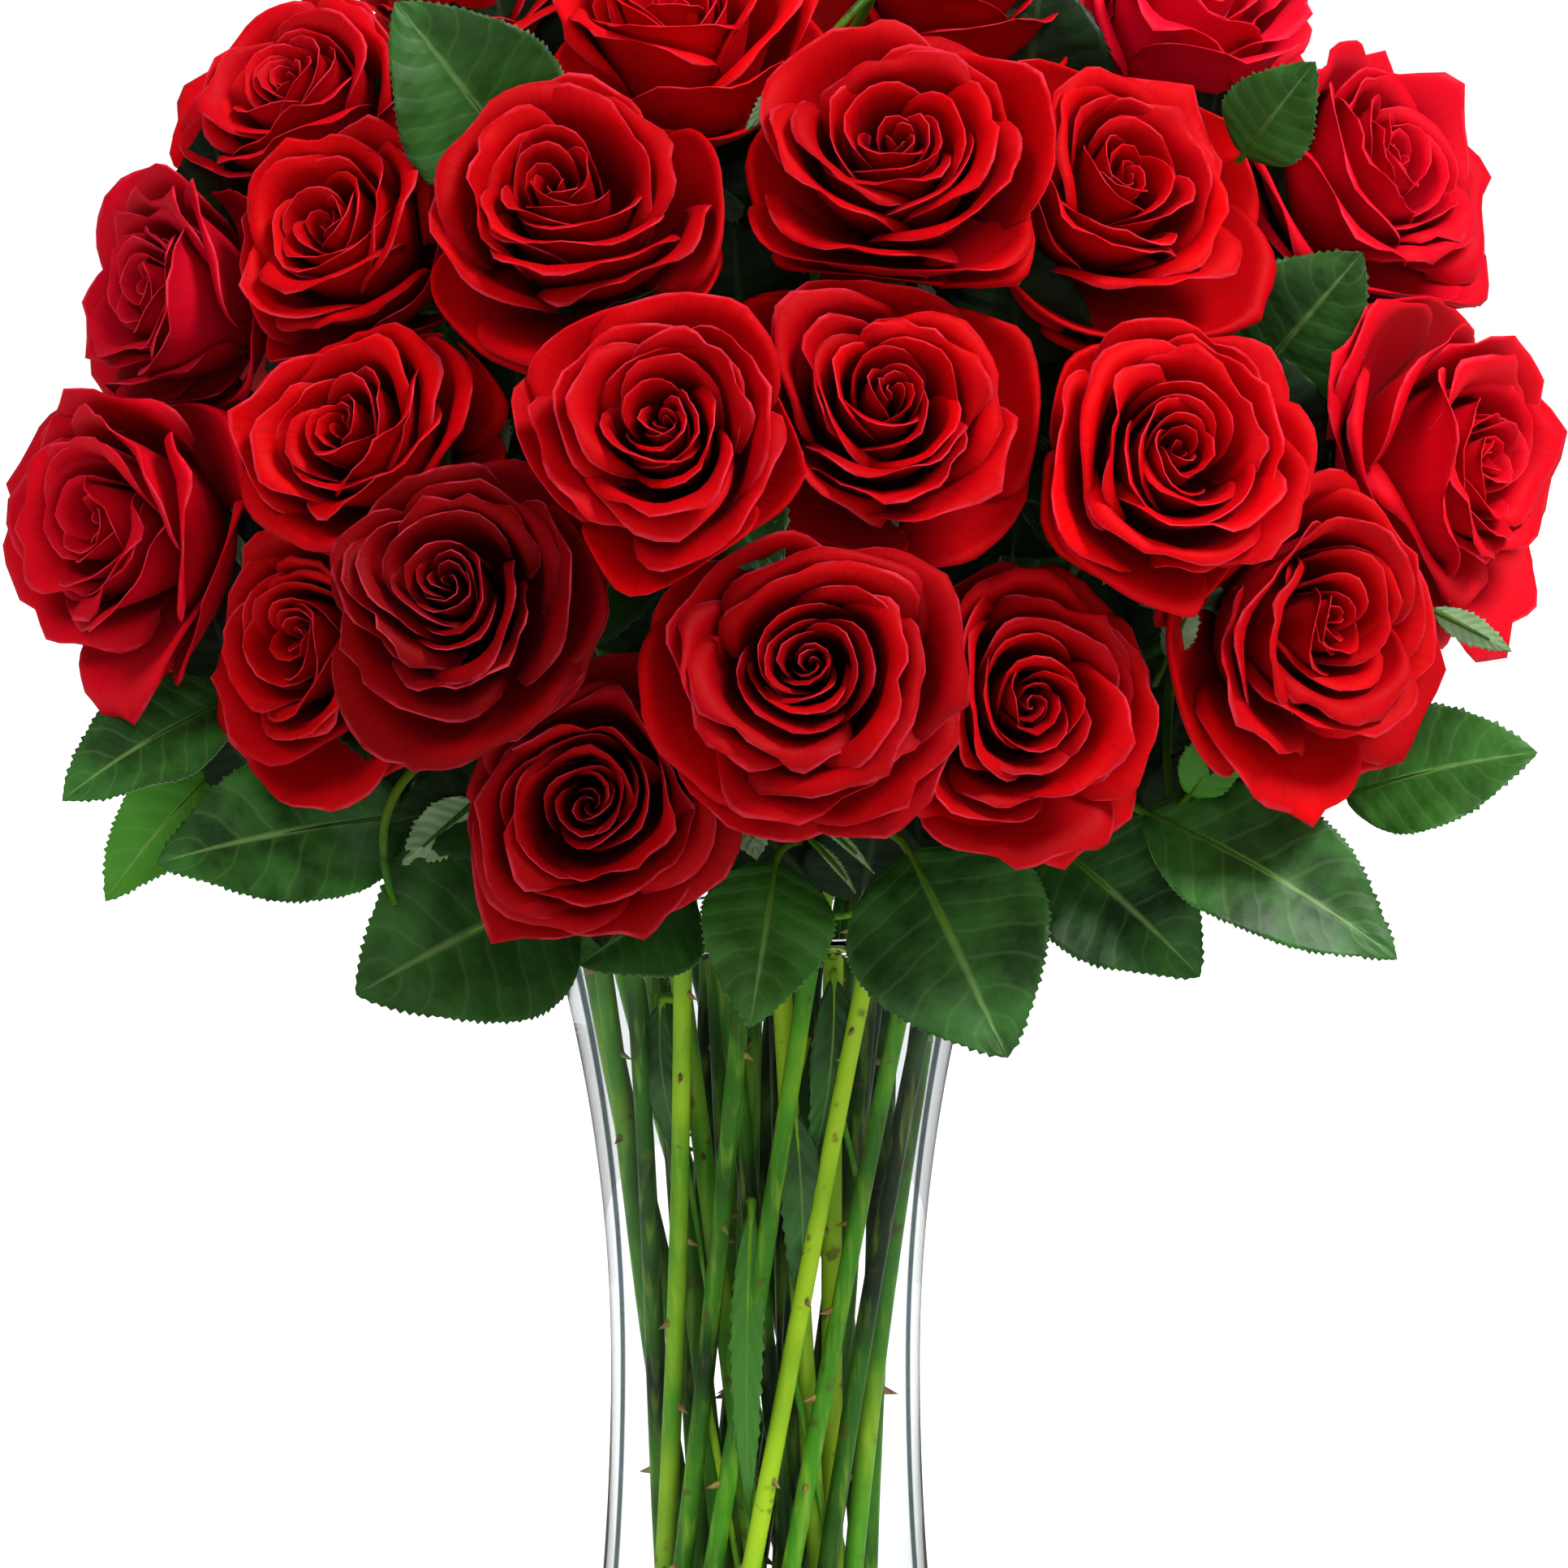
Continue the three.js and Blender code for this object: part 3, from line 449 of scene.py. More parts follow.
def linear(hex_colour):
    """A linear RGBA colour from an sRGB hex value."""
    out = []
    for shift in (16, 8, 0):
        c = ((hex_colour >> shift) & 255) / 255
        out.append(c / 12.92 if c <= 0.04045 else ((c + 0.055) / 1.055) ** 2.4)
    return (*out, 1)


def connect(tree, node, inputs):
    """Sets a node's sockets, given in a row or by name or number, each to a value, to a hex colour
    or to another node's output."""
    given = inputs if isinstance(inputs, dict) else dict(enumerate(inputs))
    for key, value in given.items():
        socket = node.inputs[key]
        if isinstance(value, bpy.types.NodeSocket):
            tree.links.new(value, socket)
        elif socket.type == "RGBA" and isinstance(value, int):
            socket.default_value = linear(value)
        else:
            socket.default_value = value


def add_node(tree, kind, inputs=(), out=0, **settings):
    """Adds a node with its settings and links. Returns the output named or numbered out, or all the
    outputs where out is None."""
    made = tree.nodes.new(kind)
    for name, value in settings.items():
        setattr(made, name, value)
    connect(tree, made, inputs)
    return made.outputs if out is None else made.outputs[out]


def new_material(name):
    """A material with a Principled shader: its tree, and the shader."""
    made = bpy.data.materials.new(name)
    made.use_nodes = True
    tree = made.node_tree
    return made, tree, tree.nodes["Principled BSDF"]


def layered(tree, colour, layers):
    """A colour with others laid over it. Each layer is a value, its start and end, the share that
    the layer takes at each of them, and the layer's colour."""
    for value, start, end, share, last_share, over in layers:
        cover = add_node(tree, "ShaderNodeMapRange", (value, start, end, share, last_share))
        colour = add_node(
            tree, "ShaderNodeMix", {0: cover, 6: colour, 7: over}, 2, data_type="RGBA"
        )
    return colour


def petal_velvet():
    """Rose petal: thin living skin with a velvety bloom of fine upright cells. The eye sees a dark
    saturated red, faint veins that fan out to the rim, painted shade that darkens the petal towards its
    foot down in the bloom, and a thin paler pink line along the rim here and there, a painted sheen."""
    made, tree, shader = new_material("petal_velvet")
    rim, rise, layer, shade, dusky, bright, crimson = (
        add_node(tree, "ShaderNodeAttribute", out="Fac", attribute_name=name)
        for name in ("rim", "rise", "layer", "shade", "dusky", "bright", "crimson")
    )
    uv = add_node(tree, "ShaderNodeUVMap", uv_map="blade")
    # Veins lie about 0.8 mm apart over a 50 mm petal, so 60 across, and long towards the rim.
    stretched = add_node(tree, "ShaderNodeMapping", {"Vector": uv, "Scale": (60, 3, 1)})
    veins = add_node(tree, "ShaderNodeTexNoise", {"Vector": stretched, "Scale": 1, "Detail": 2})
    # Soft blotches 9 mm across, as of light that the flesh takes in unevenly.
    place = add_node(tree, "ShaderNodeTexCoord", out="Object")
    blotches = add_node(tree, "ShaderNodeTexNoise", {"Vector": place, "Scale": 110, "Detail": 2})
    # A paler pink is painted along the rim here and there: a painted sheen highlight.
    at_rim = add_node(tree, "ShaderNodeMapRange", (rim, 0.3, 1))
    dry = add_node(tree, "ShaderNodeMapRange", (blotches, 0.42, 0.6, 0.06, 0.42))
    painted_rim_sheen = add_node(tree, "ShaderNodeMath", (at_rim, dry), operation="MULTIPLY")
    body = layered(
        tree,
        0x260001,
        (
            # Painted shade: the petal goes from near-black at its foot to full red towards the rim.
            (rise, 0, 1, 0, 1, 0xB40004),
            (layer, 0, 0.4, 0.35, 0, 0x6E0004),
            (blotches, 0.35, 0.7, 0, 0.4, 0x980004),
            (veins, 0.5, 0.75, 0, 0.3, 0x760003),
            (shade, 0, 1, 0, 0.55, 0x800008),
            # Painted shade darkens the blooms that lie in shadow, and painted light lightens the sunlit ones.
            (dusky, 0, 1, 0, 0.72, 0x3C0002),
            (bright, 0, 1, 0, 0.55, 0xE8000C),
            (crimson, 0, 1, 0, 0.5, 0xC40A2E),
            # Painted sheen: the paler pink along the rim.
            (painted_rim_sheen, 0, 1, 0, 1, 0xE04058),
        ),
    )
    bump = add_node(tree, "ShaderNodeBump", {"Strength": 0.4, "Distance": 0.0004, "Height": veins})
    connect(
        tree,
        shader,
        {
            "Base Color": body,
            "Normal": bump,
            "Roughness": 0.6,
            "Specular IOR Level": 0.05,
            "Sheen Weight": 0.03,
            "Sheen Roughness": 0.4,
            "Sheen Tint": 0xFF3A50,
        },
    )
    return made


def waxy_leaf():
    """Rose leaf: a leathery blade with a thin wax coat. The upper side is dark green and satin, with
    paler sunk veins that leave the rib in pairs; the underside is pale and dull."""
    made, tree, shader = new_material("waxy_leaf")
    under, fresh, deep = (
        add_node(tree, "ShaderNodeAttribute", out="Fac", attribute_name=name)
        for name in ("under", "fresh", "deep")
    )
    uv = add_node(tree, "ShaderNodeUVMap", uv_map="blade")
    split = add_node(tree, "ShaderNodeSeparateXYZ", (uv,), None)
    # From 0 on the rib to 1 at the edge
    beside = add_node(tree, "ShaderNodeMath", (split[0], 0.5), operation="SUBTRACT")
    beside = add_node(tree, "ShaderNodeMath", (beside,), operation="ABSOLUTE")
    across = add_node(tree, "ShaderNodeMath", (beside, 2), operation="MULTIPLY")
    # Pairs of side veins, swept towards the tip, and fine cross veins about 1.5 mm apart.
    swept = add_node(tree, "ShaderNodeMath", (across, -VEIN_SWEEP, split[1]), operation="MULTIPLY_ADD")
    wobble = add_node(tree, "ShaderNodeTexNoise", {"Vector": uv, "Scale": 5, "Detail": 1})
    swept = add_node(tree, "ShaderNodeMath", (wobble, 0.05, swept), operation="MULTIPLY_ADD")
    counted = add_node(tree, "ShaderNodeMath", (swept, VEIN_PAIRS), operation="MULTIPLY")
    phase = add_node(tree, "ShaderNodeMath", (counted,), operation="FRACT")
    off_vein = add_node(tree, "ShaderNodeMath", (phase, 0.5), operation="SUBTRACT")
    off_vein = add_node(tree, "ShaderNodeMath", (off_vein,), operation="ABSOLUTE")
    cells = add_node(
        tree,
        "ShaderNodeTexVoronoi",
        {"Vector": uv, "Scale": 26},
        "Distance",
        feature="DISTANCE_TO_EDGE",
    )
    rib = add_node(tree, "ShaderNodeMapRange", (across, 0.015, 0.06, 1, 0))
    side_vein = add_node(tree, "ShaderNodeMapRange", (off_vein, 0.03, 0.09, 0.2, 0))
    net = add_node(tree, "ShaderNodeMapRange", (cells, 0, 0.12, 0.06, 0))
    vein = add_node(tree, "ShaderNodeMath", (rib, side_vein), operation="MAXIMUM")
    vein = add_node(tree, "ShaderNodeMath", (vein, net), operation="MAXIMUM")
    # Patches of lighter green 17 mm across.
    place = add_node(tree, "ShaderNodeTexCoord", out="Object")
    patches = add_node(tree, "ShaderNodeTexNoise", {"Vector": place, "Scale": 60, "Detail": 3})
    below = layered(tree, 0x6F8A62, ((vein, 0, 1, 0, 1, 0x9AAB7C),))
    whole = layered(
        tree,
        0x0D260C,
        (
            (patches, 0.38, 0.64, 0, 1, 0x2A5821),
            (fresh, 0, 1, 0, 0.75, 0x3F7F1E),
            (vein, 0, 1, 0, 0.55, 0x6F8F4A),
            (under, 0, 1, 0, 1, below),
            # Painted shade: leaves in the shade inside the bouquet are darkened towards black-green.
            (deep, 0, 1, 0, 0.85, 0x060D05),
        ),
    )
    between = add_node(tree, "ShaderNodeMapRange", (vein, 0, 1, 1, 0))
    relief = add_node(tree, "ShaderNodeMath", (off_vein, between), operation="MULTIPLY")
    bump = add_node(tree, "ShaderNodeBump", {"Strength": 0.5, "Distance": 0.001, "Height": relief})
    dull = add_node(tree, "ShaderNodeMapRange", (under, 0, 1, 0.48, 0.7))
    connect(
        tree,
        shader,
        {"Base Color": whole, "Normal": bump, "Roughness": dull, "Specular IOR Level": 0.25},
    )
    return made


def green_stem():
    """Rose stem: green bark with a dull wax skin. It runs from olive to fresh yellow-green, streaked
    along its length, with brown flecks where it was stripped."""
    made, tree, shader = new_material("green_stem")
    young = add_node(tree, "ShaderNodeAttribute", out="Fac", attribute_name="tone")
    place = add_node(tree, "ShaderNodeTexCoord", out="Object")
    # Streaks 2 mm wide and 20 mm long.
    stretched = add_node(tree, "ShaderNodeMapping", {"Vector": place, "Scale": (1, 1, 0.1)})
    streaks = add_node(tree, "ShaderNodeTexNoise", {"Vector": stretched, "Scale": 450, "Detail": 3})
    # The tone drifts over 40 mm, and the flecks are 6 mm across.
    broad = add_node(tree, "ShaderNodeTexNoise", {"Vector": place, "Scale": 24, "Detail": 2})
    flecks = add_node(tree, "ShaderNodeTexNoise", {"Vector": place, "Scale": 160, "Detail": 3})
    drift = add_node(tree, "ShaderNodeMapRange", (broad, 0.3, 0.7, -0.3, 0.3))
    tone = add_node(tree, "ShaderNodeMath", (young, drift), operation="ADD")
    height = add_node(tree, "ShaderNodeSeparateXYZ", (place,), 2)
    colour = layered(
        tree,
        0x0C2206,
        (
            (tone, 0, 0.5, 0, 1, 0x3A7A12),
            (tone, 0.5, 1, 0, 1, 0x8DB01A),
            (streaks, 0.5, 0.72, 0, 0.3, 0x9DBB3A),
            (flecks, 0.62, 0.7, 0, 0.7, 0x4A3A1C),
            # Above the vase the stems are painted dark: painted shade, where they run among the leaves and
            # blooms.
            (height, 0.24, 0.27, 0, 0.75, 0x0C1A08),
        ),
    )
    bump = add_node(tree, "ShaderNodeBump", {"Strength": 0.3, "Distance": 0.0004, "Height": streaks})
    connect(
        tree,
        shader,
        {"Base Color": colour, "Normal": bump, "Roughness": 0.4, "Specular IOR Level": 0.12},
    )
    return made


def thorn_skin():
    """Rose thorn: hard dry bark, dull reddish brown, with a grain about 1.5 mm wide."""
    made, tree, shader = new_material("thorn_skin")
    place = add_node(tree, "ShaderNodeTexCoord", out="Object")
    grain = add_node(tree, "ShaderNodeTexNoise", {"Vector": place, "Scale": 700, "Detail": 2})
    colour = layered(tree, 0x6B7A2E, ((grain, 0.35, 0.65, 0, 1, 0x7C3B22),))
    connect(tree, shader, {"Base Color": colour, "Roughness": 0.55})
    return made


def clear_glass():
    """Soda-lime glass, blown into a mould and fire polished: clear, with faint waves from the
    mould."""
    made, tree, shader = new_material("clear_glass")
    place = add_node(tree, "ShaderNodeTexCoord", out="Object")
    # Waves about 25 mm long and so shallow that only reflections show them.
    waves = add_node(tree, "ShaderNodeTexNoise", {"Vector": place, "Scale": 40, "Detail": 1})
    bump = add_node(tree, "ShaderNodeBump", {"Strength": 0.06, "Distance": 0.001, "Height": waves})
    # Where the wall turns away from the eye, a thin dark line and a darker edge are painted into the
    # glass's colour: a painted reflection of the dark of the room.
    turned_away = add_node(tree, "ShaderNodeLayerWeight", {"Blend": 0.5}, "Facing")
    off_line = add_node(tree, "ShaderNodeMath", (turned_away, 0.62), operation="SUBTRACT")
    off_line = add_node(tree, "ShaderNodeMath", (off_line,), operation="ABSOLUTE")
    line = add_node(tree, "ShaderNodeMapRange", (off_line, 0.028, 0.05, 1, 0))
    edge = add_node(tree, "ShaderNodeMapRange", (turned_away, 0.82, 0.96, 0, 0.6))
    dark = add_node(tree, "ShaderNodeMath", (line, edge), operation="MAXIMUM")
    glass_and_painted_lines = layered(tree, 0xFBFCFC, ((dark, 0, 1, 0, 1, 0x182226),))
    connect(
        tree,
        shader,
        {
            "Base Color": glass_and_painted_lines,
            "Normal": bump,
            "Transmission Weight": 1,
            "Roughness": 0,
            "IOR": 1.5,
            # Only a trace of the white room is mirrored in it, so that the stems behind it stay dark.
            "Specular Tint": (0.03, 0.03, 0.03, 1),
        },
    )
    return made


def still_water():
    """Tap water, all but colourless, with ripples 33 mm long that are too faint to stand out."""
    made, tree, shader = new_material("still_water")
    place = add_node(tree, "ShaderNodeTexCoord", out="Object")
    ripple = add_node(tree, "ShaderNodeTexNoise", {"Vector": place, "Scale": 30, "Detail": 1})
    bump = add_node(tree, "ShaderNodeBump", {"Strength": 0.03, "Distance": 0.001, "Height": ripple})
    connect(
        tree,
        shader,
        {
            "Base Color": 0xF8FBFA,
            "Normal": bump,
            "Transmission Weight": 1,
            "Roughness": 0,
            "IOR": 1.333,
            "Specular Tint": (0, 0, 0, 1),
        },
    )
    return made


PETAL = petal_velvet()
LEAF = waxy_leaf()
STEM = green_stem()
THORN = thorn_skin()
GLASS = clear_glass()
WATER = still_water()


# Meshes


def linked(name, data):
    """An object of the data, in the scene."""
    made = bpy.data.objects.new(name, data)
    bpy.context.collection.objects.link(made)
    return made


class Shell:
    """Collects thin closed blades, each a grid of points, and tubes into one mesh. Its first
    material is on the blades."""

    def __init__(self):
        self.points, self.faces, self.values, self.uvs, self.slots = [], [], [], [], []
        self.count = 0

    def add(self, points, faces, uvs, values, slot):
        self.points.append(points)
        self.faces += [[i + self.count for i in face] for face in faces]
        self.slots += [slot] * len(faces)
        self.uvs.append(uvs)
        self.values.append(values)
        self.count += len(points)

    def blade(self, grid, thickness, values):
        """A blade with its two faces half its thickness from a grid of points, and walls round."""
        rows, columns = grid.shape[:2]
        along = np.gradient(grid, axis=0)
        beside = np.gradient(grid, axis=1)
        normal = unit(np.cross(beside, along))
        half = (np.broadcast_to(thickness, (rows, columns)) / 2)[..., None]
        points = np.concatenate([(grid + s * half * normal).reshape(-1, 3) for s in (1, -1)])
        faces, total = blade_faces(rows, columns)
        v, u = np.meshgrid(np.linspace(0, 1, rows), np.linspace(0, 1, columns), indexing="ij")
        uvs = np.tile(np.stack([u.ravel(), v.ravel()], 1), (2, 1))
        doubled = {
            name: np.tile(np.broadcast_to(value, (rows, columns)).ravel(), 2)
            for name, value in values.items()
        }
        doubled["under"] = np.repeat([0.0, 1.0], total)
        self.add(points, faces, uvs, doubled, 0)

    def tube(self, path, radii, sides, values):
        """A closed tube along a path, in the mesh's second material. Its section is carried along
        without twist."""
        path = np.asarray(path, float)
        along = unit(np.gradient(path, axis=0))
        side = np.cross((0, 0, 1), along[0]) + (1e-3, 0, 0)
        turns = 2 * np.pi * np.arange(sides) / sides
        rings = []
        for point, course, radius in zip(path, along, radii):
            side = unit(side - course * np.dot(side, course))
            other = np.cross(course, side)
            ring = np.outer(np.cos(turns), side) + np.outer(np.sin(turns), other)
            rings.append(point + radius * ring)
        points = np.concatenate([*rings, path[:1], path[-1:]])
        last = len(path) - 1
        faces = []
        for k in range(sides):
            n = (k + 1) % sides
            for i in range(last):
                faces.append([i * sides + k, i * sides + n, (i + 1) * sides + n, (i + 1) * sides + k])
            faces.append([len(points) - 2, n, k])
            faces.append([len(points) - 1, last * sides + k, last * sides + n])
        self.add(points, faces, np.zeros((len(points), 2)), dict(values, under=0), 1)

    def piece(self, name, materials):
        """The collected mesh as an object, in metres."""
        mesh = bpy.data.meshes.new(name)
        points = np.concatenate(self.points) * MM
        mesh.from_pydata(points.tolist(), [], self.faces)
        for material in materials:
            mesh.materials.append(material)
        mesh.polygons.foreach_set("material_index", self.slots)
        mesh.polygons.foreach_set("use_smooth", [True] * len(self.faces))
        corner = np.empty(len(mesh.loops), dtype=np.int32)
        mesh.loops.foreach_get("vertex_index", corner)
        layer = mesh.uv_layers.new(name="blade")
        layer.data.foreach_set("uv", np.concatenate(self.uvs)[corner].ravel())
        for value_name in sorted({key for values in self.values for key in values}):
            filled = [
                np.broadcast_to(np.asarray(values.get(value_name, 0), float), (len(part),))
                for values, part in zip(self.values, self.points)
            ]
            attribute = mesh.attributes.new(value_name, "FLOAT", "POINT")
            attribute.data.foreach_set("value", np.concatenate(filled))
        mesh.update()
        return linked(name, mesh)


@cache
def blade_faces(rows, columns):
    """The faces of a blade over a grid (the near face, the far face, and the walls between), and
    how many points the grid has."""
    total = rows * columns
    at = np.arange(total).reshape(rows, columns)
    a, b, c, d = at[:-1, :-1], at[:-1, 1:], at[1:, 1:], at[1:, :-1]
    near = np.stack([a, b, c, d], -1).reshape(-1, 4)
    far = near[:, ::-1] + total
    rim = np.concatenate([at[0], at[1:, -1], at[-1, -2::-1], at[-2:0:-1, 0]])
    start, end = rim, np.roll(rim, -1)
    wall = np.stack([end, start, start + total, end + total], -1)
    return np.concatenate([near, far, wall]).tolist(), total


# Blooms


class Rose:
    """Where one rose's bloom stands, and which way it faces."""

    def __init__(self, name, rim, heading, pitch, size, loosest):
        self.name, self.size, self.loosest = name, size, math.radians(loosest)
        self.axis = direction(heading, pitch)
        self.side = unit(np.cross((0, 0, 1), self.axis))
        self.across = np.cross(self.axis, self.side)
        rim = np.array(rim, float)
        self.base = rim - self.axis * BLOOM_HEIGHT * size
        self.middle = rim - self.axis * BLOOM_MIDDLE * BLOOM_HEIGHT * size
        self.random = np.random.default_rng(int(name))
        self.leaves = []


roses = [Rose(name, *facts) for name, facts in ROSES.items()]

# The planes between a bloom and each near one, half-way where both are alike. A bloom keeps to its
# own side of them.
for rose in roses:
    rose.planes = []
    for other in roses:
        apart = other.middle - rose.middle
        if other is not rose and np.linalg.norm(apart) < NEIGHBOUR_REACH:
            normal = unit(apart)
            room, others = (one.size * ROOM.get(one.name, 1) for one in (rose, other))
            share = room / (room + others)
            rose.planes.append((normal, np.dot(lerp(rose.middle, other.middle, share), normal)))


def cup_radius(height):
    """The outer petals' radius at a height above the bloom's base, for a bloom of size 1."""
    share = np.clip(height / CUP_HEIGHT, 0, 1)
    return CUP_FOOT + CUP_SPREAD * np.sin(share * np.pi / 2) ** 0.8


def settle(rose, away, beside, up):
    """The place of a petal's points in the bouquet. Where a neighbour crowds the bloom, its petals
    are drawn in, the outer ones the most, so that they stay on their own side."""
    radius = np.hypot(away, beside) + 1e-9
    axial = rose.base + rose.axis * (up * rose.size)[..., None]
    outward = (rose.side * away[..., None] + rose.across * beside[..., None]) / radius[..., None]
    reach = np.maximum(cup_radius(up), radius)
    crowding = np.ones_like(radius)
    for normal, at in rose.planes:
        slope = outward @ normal
        room = np.maximum(at - PRESS_MARGIN - axial @ normal, LEAST_ROOM)
        crowding += (reach * rose.size * np.maximum(slope, 0) / room) ** SQUEEZE_SHARPNESS
    draw = 1 - crowding ** (-1 / SQUEEZE_SHARPNESS)
    # Petals keep their order: the whole bloom shares a strong squeeze, and only its outside a weak
    # one.
    sharing = np.clip(FULL_SQUEEZE / np.maximum(draw, 1e-3) - 1, *SQUEEZE_POWERS)
    drawn = radius * (1 - draw * (radius / reach) ** sharing) * rose.size
    points = axial + outward * drawn[..., None]
    for normal, at in rose.planes:
        over = np.maximum(points @ normal - (at - PRESS_MARGIN), 0)
        points = points - over[..., None] * normal
    return points


def meridian(foot, rise, lip):
    """The run of a petal's middle line, from its foot up to where its margin rolls: its angle above
    level goes from foot to lip. Returns the shares of its radius and height, against its length."""
    length = np.linspace(0, 1.15, 70)
    angle = np.radians(foot + (lip - foot) * np.clip(length, 0, 1) ** rise)
    step = length[1] - length[0]
    out, up = walk((angle[1:] + angle[:-1]) / 2, step)
    whole = np.interp(1, length, out), np.interp(1, length, up)
    return length, out / whole[0], up / whole[1]


def petal_cup(form, u):
    """A petal below its margin, in rows from its foot: its radius, its height, and how far up it is."""
    length, out, up = meridian(form["foot"], form["rise"], form["lip"])
    outline = 1 - form["shoulder"] * np.abs(u) ** form["square"]
    share = np.linspace(0, 1, CUP_ROWS)[:, None] ** 0.8 * outline[None, :]
    claw = CLAW_RADIUS * min(1, form["radius"] / 6)
    radius = lerp(claw, form["radius"], np.interp(share, length, out))
    height = lerp(CLAW_HEIGHT, form["top"], np.interp(share, length, up))
    return radius, height, share


def petal_lip(form, u, radius, height):
    """The margin that goes on from the cup, in rows of radius and height: a crescent that rolls out,
    longest a little to one side, with a point at its tip. It rolls more at the petal's sides than at
    the tip, and most at its very rim."""
    tangent = np.arctan2(height[-1] - height[-2], radius[-1] - radius[-2])
    leant = np.clip(u - form["lean"] * (1 - u * u), -1, 1)
    lip = form["lip_length"] * (0.15 + 0.85 * (1 - np.abs(leant) ** form["square"]) ** 0.9)
    lip = lip + form["point"] * np.exp(-np.abs(u - form["lean"] * 0.5) / 0.11)
    for corner_at, corner_length, corner_width in form["corners"]:
        lip = lip + corner_length * np.exp(-np.abs(u - corner_at) / corner_width)
    roll = np.radians(form["roll"]) * (form["tip_roll"] + (1.1 - form["tip_roll"]) * np.abs(u) ** 1.2)
    rows = [(radius[-1], height[-1])]
    for start, end in zip(LIP_STEPS, LIP_STEPS[1:]):
        bent = tangent - roll * ((start + end) / 2) ** 1.3
        step = lip * (end - start)
        rows.append((rows[-1][0] + step * np.cos(bent), rows[-1][1] + step * np.sin(bent)))
    return np.array(rows[1:])


def petal_grid(rose, form, columns):
    """The middle surface of a petal: rows from its foot to its rim, columns from side to side. With it
    come each row's share of the way up, and how far each point is out of the painted shade at its foot."""
    u = np.linspace(-1, 1, columns)
    u = np.sign(u) * np.abs(u) ** 0.85
    radius, height, share = petal_cup(form, u)
    lip = petal_lip(form, u, radius, height)
    radius = np.concatenate([radius, lip[:, 0]])
    height = np.concatenate([height, lip[:, 1]])
    share = np.concatenate([share, np.repeat(share[-1:], len(lip), axis=0)])
    rise = np.linspace(0, 1, len(radius))[:, None] ** 1.5
    angle = form["half"] * (0.45 + 0.55 * smooth(share * 1.15)) * u[None, :]
    opened = smooth(share * 1.3)
    radius = radius + form["spiral"] * angle * opened
    radius = radius + form["flap"] * np.maximum(np.abs(u) - 0.72, 0)[None, :] ** 1.5 * 6 * opened
    wave = angle * form["waves"] + form["phase"]
    ruffled = np.sin(wave) + form["fray"] * np.sin(2.9 * wave + 2)
    radius = radius + form["ruffle"] * rise**3 * ruffled
    height = height + 0.7 * form["ruffle"] * rise**3 * np.sin(1.7 * wave + 1)
    # A crease runs to the tip, and the blade dishes a little either side of it.
    radius = radius - form["crease"] * rise * np.exp(-((u / 0.1) ** 2))[None, :]
    turn = form["turn"] + rose.spin * angle
    # The whole bloom is a little oval and a little three-sided, its corners turned with its depth.
    oval, corners = rose.warp
    radius = radius * (
        1
        + oval[0] * np.cos(2 * turn - oval[1]) * np.exp(-radius / 30)
        + corners[0] * np.cos(3 * turn - corners[1] + radius / 14)
    )
    lean = smooth(height / 45)
    away = radius * np.cos(turn) + form["shift"][0] * lean
    beside = radius * np.sin(turn) + form["shift"][1] * lean
    lit = smooth((share - form["dark"]) / (form["light"] - form["dark"]))
    return settle(rose, away, beside, height), rise, lit


def inner_petal(random, k, start, spin, shift, dip):
    """One of the petals that wrap the heart, each spiralling out a little."""
    t = k / (INNER_PETALS - 1)
    radius = 1.5 + 10 * t + 7.5 * t**2
    return {
        "t": 0.75 * t,
        "radius": radius * random.uniform(0.94, 1.05),
        "top": 44 + 2 * math.sin(math.pi * t) - t**2 - dip * (1 - t) ** 2 + random.uniform(-1, 1) * t,
        "foot": lerp(62, 24, t**0.7),
        "lip": lerp(94, 72, t**1.5) + random.normal(0, 4),
        "rise": 0.6,
        "roll": lerp(20, 90, t**0.7) * random.uniform(0.6, 1.3),
        "tip_roll": lerp(0.9, 0.55, t) * random.uniform(0.8, 1.1),
        "lip_length": lerp(1.6, 5, t) * random.uniform(0.8, 1.25),
        "point": lerp(0.2, 1.4, t) * random.uniform(0, 1.3),
        "lean": random.uniform(-0.35, 0.35),
        "half": min((12 + 16 * t) / radius, 1.9) * random.uniform(0.78, 1.18),
        "spiral": lerp(0.75, 2.0, t),
        "shoulder": lerp(0.2, 0.34, t) * random.uniform(0.85, 1.15),
        "square": lerp(2.2, 2.8, t),
        "flap": lerp(0.2, 0.8, t),
        "waves": random.uniform(2.2, 4.2),
        "phase": random.uniform(0, 2 * np.pi),
        "ruffle": lerp(0.2, 0.9, t) * random.uniform(0.5, 1.4),
        "crease": lerp(0.1, 0.7, t) * random.uniform(0, 1.5),
        "turn": start + spin * k * GOLDEN_TURN + random.normal(0, 0.5),
        "shift": shift * (1 - t) ** 1.2 + random.normal(0, 0.25 + 0.85 * t, 2),
        "corners": (),
        "fray": 0.2,
        "dark": 0.62,
        "light": 1.04,
    }


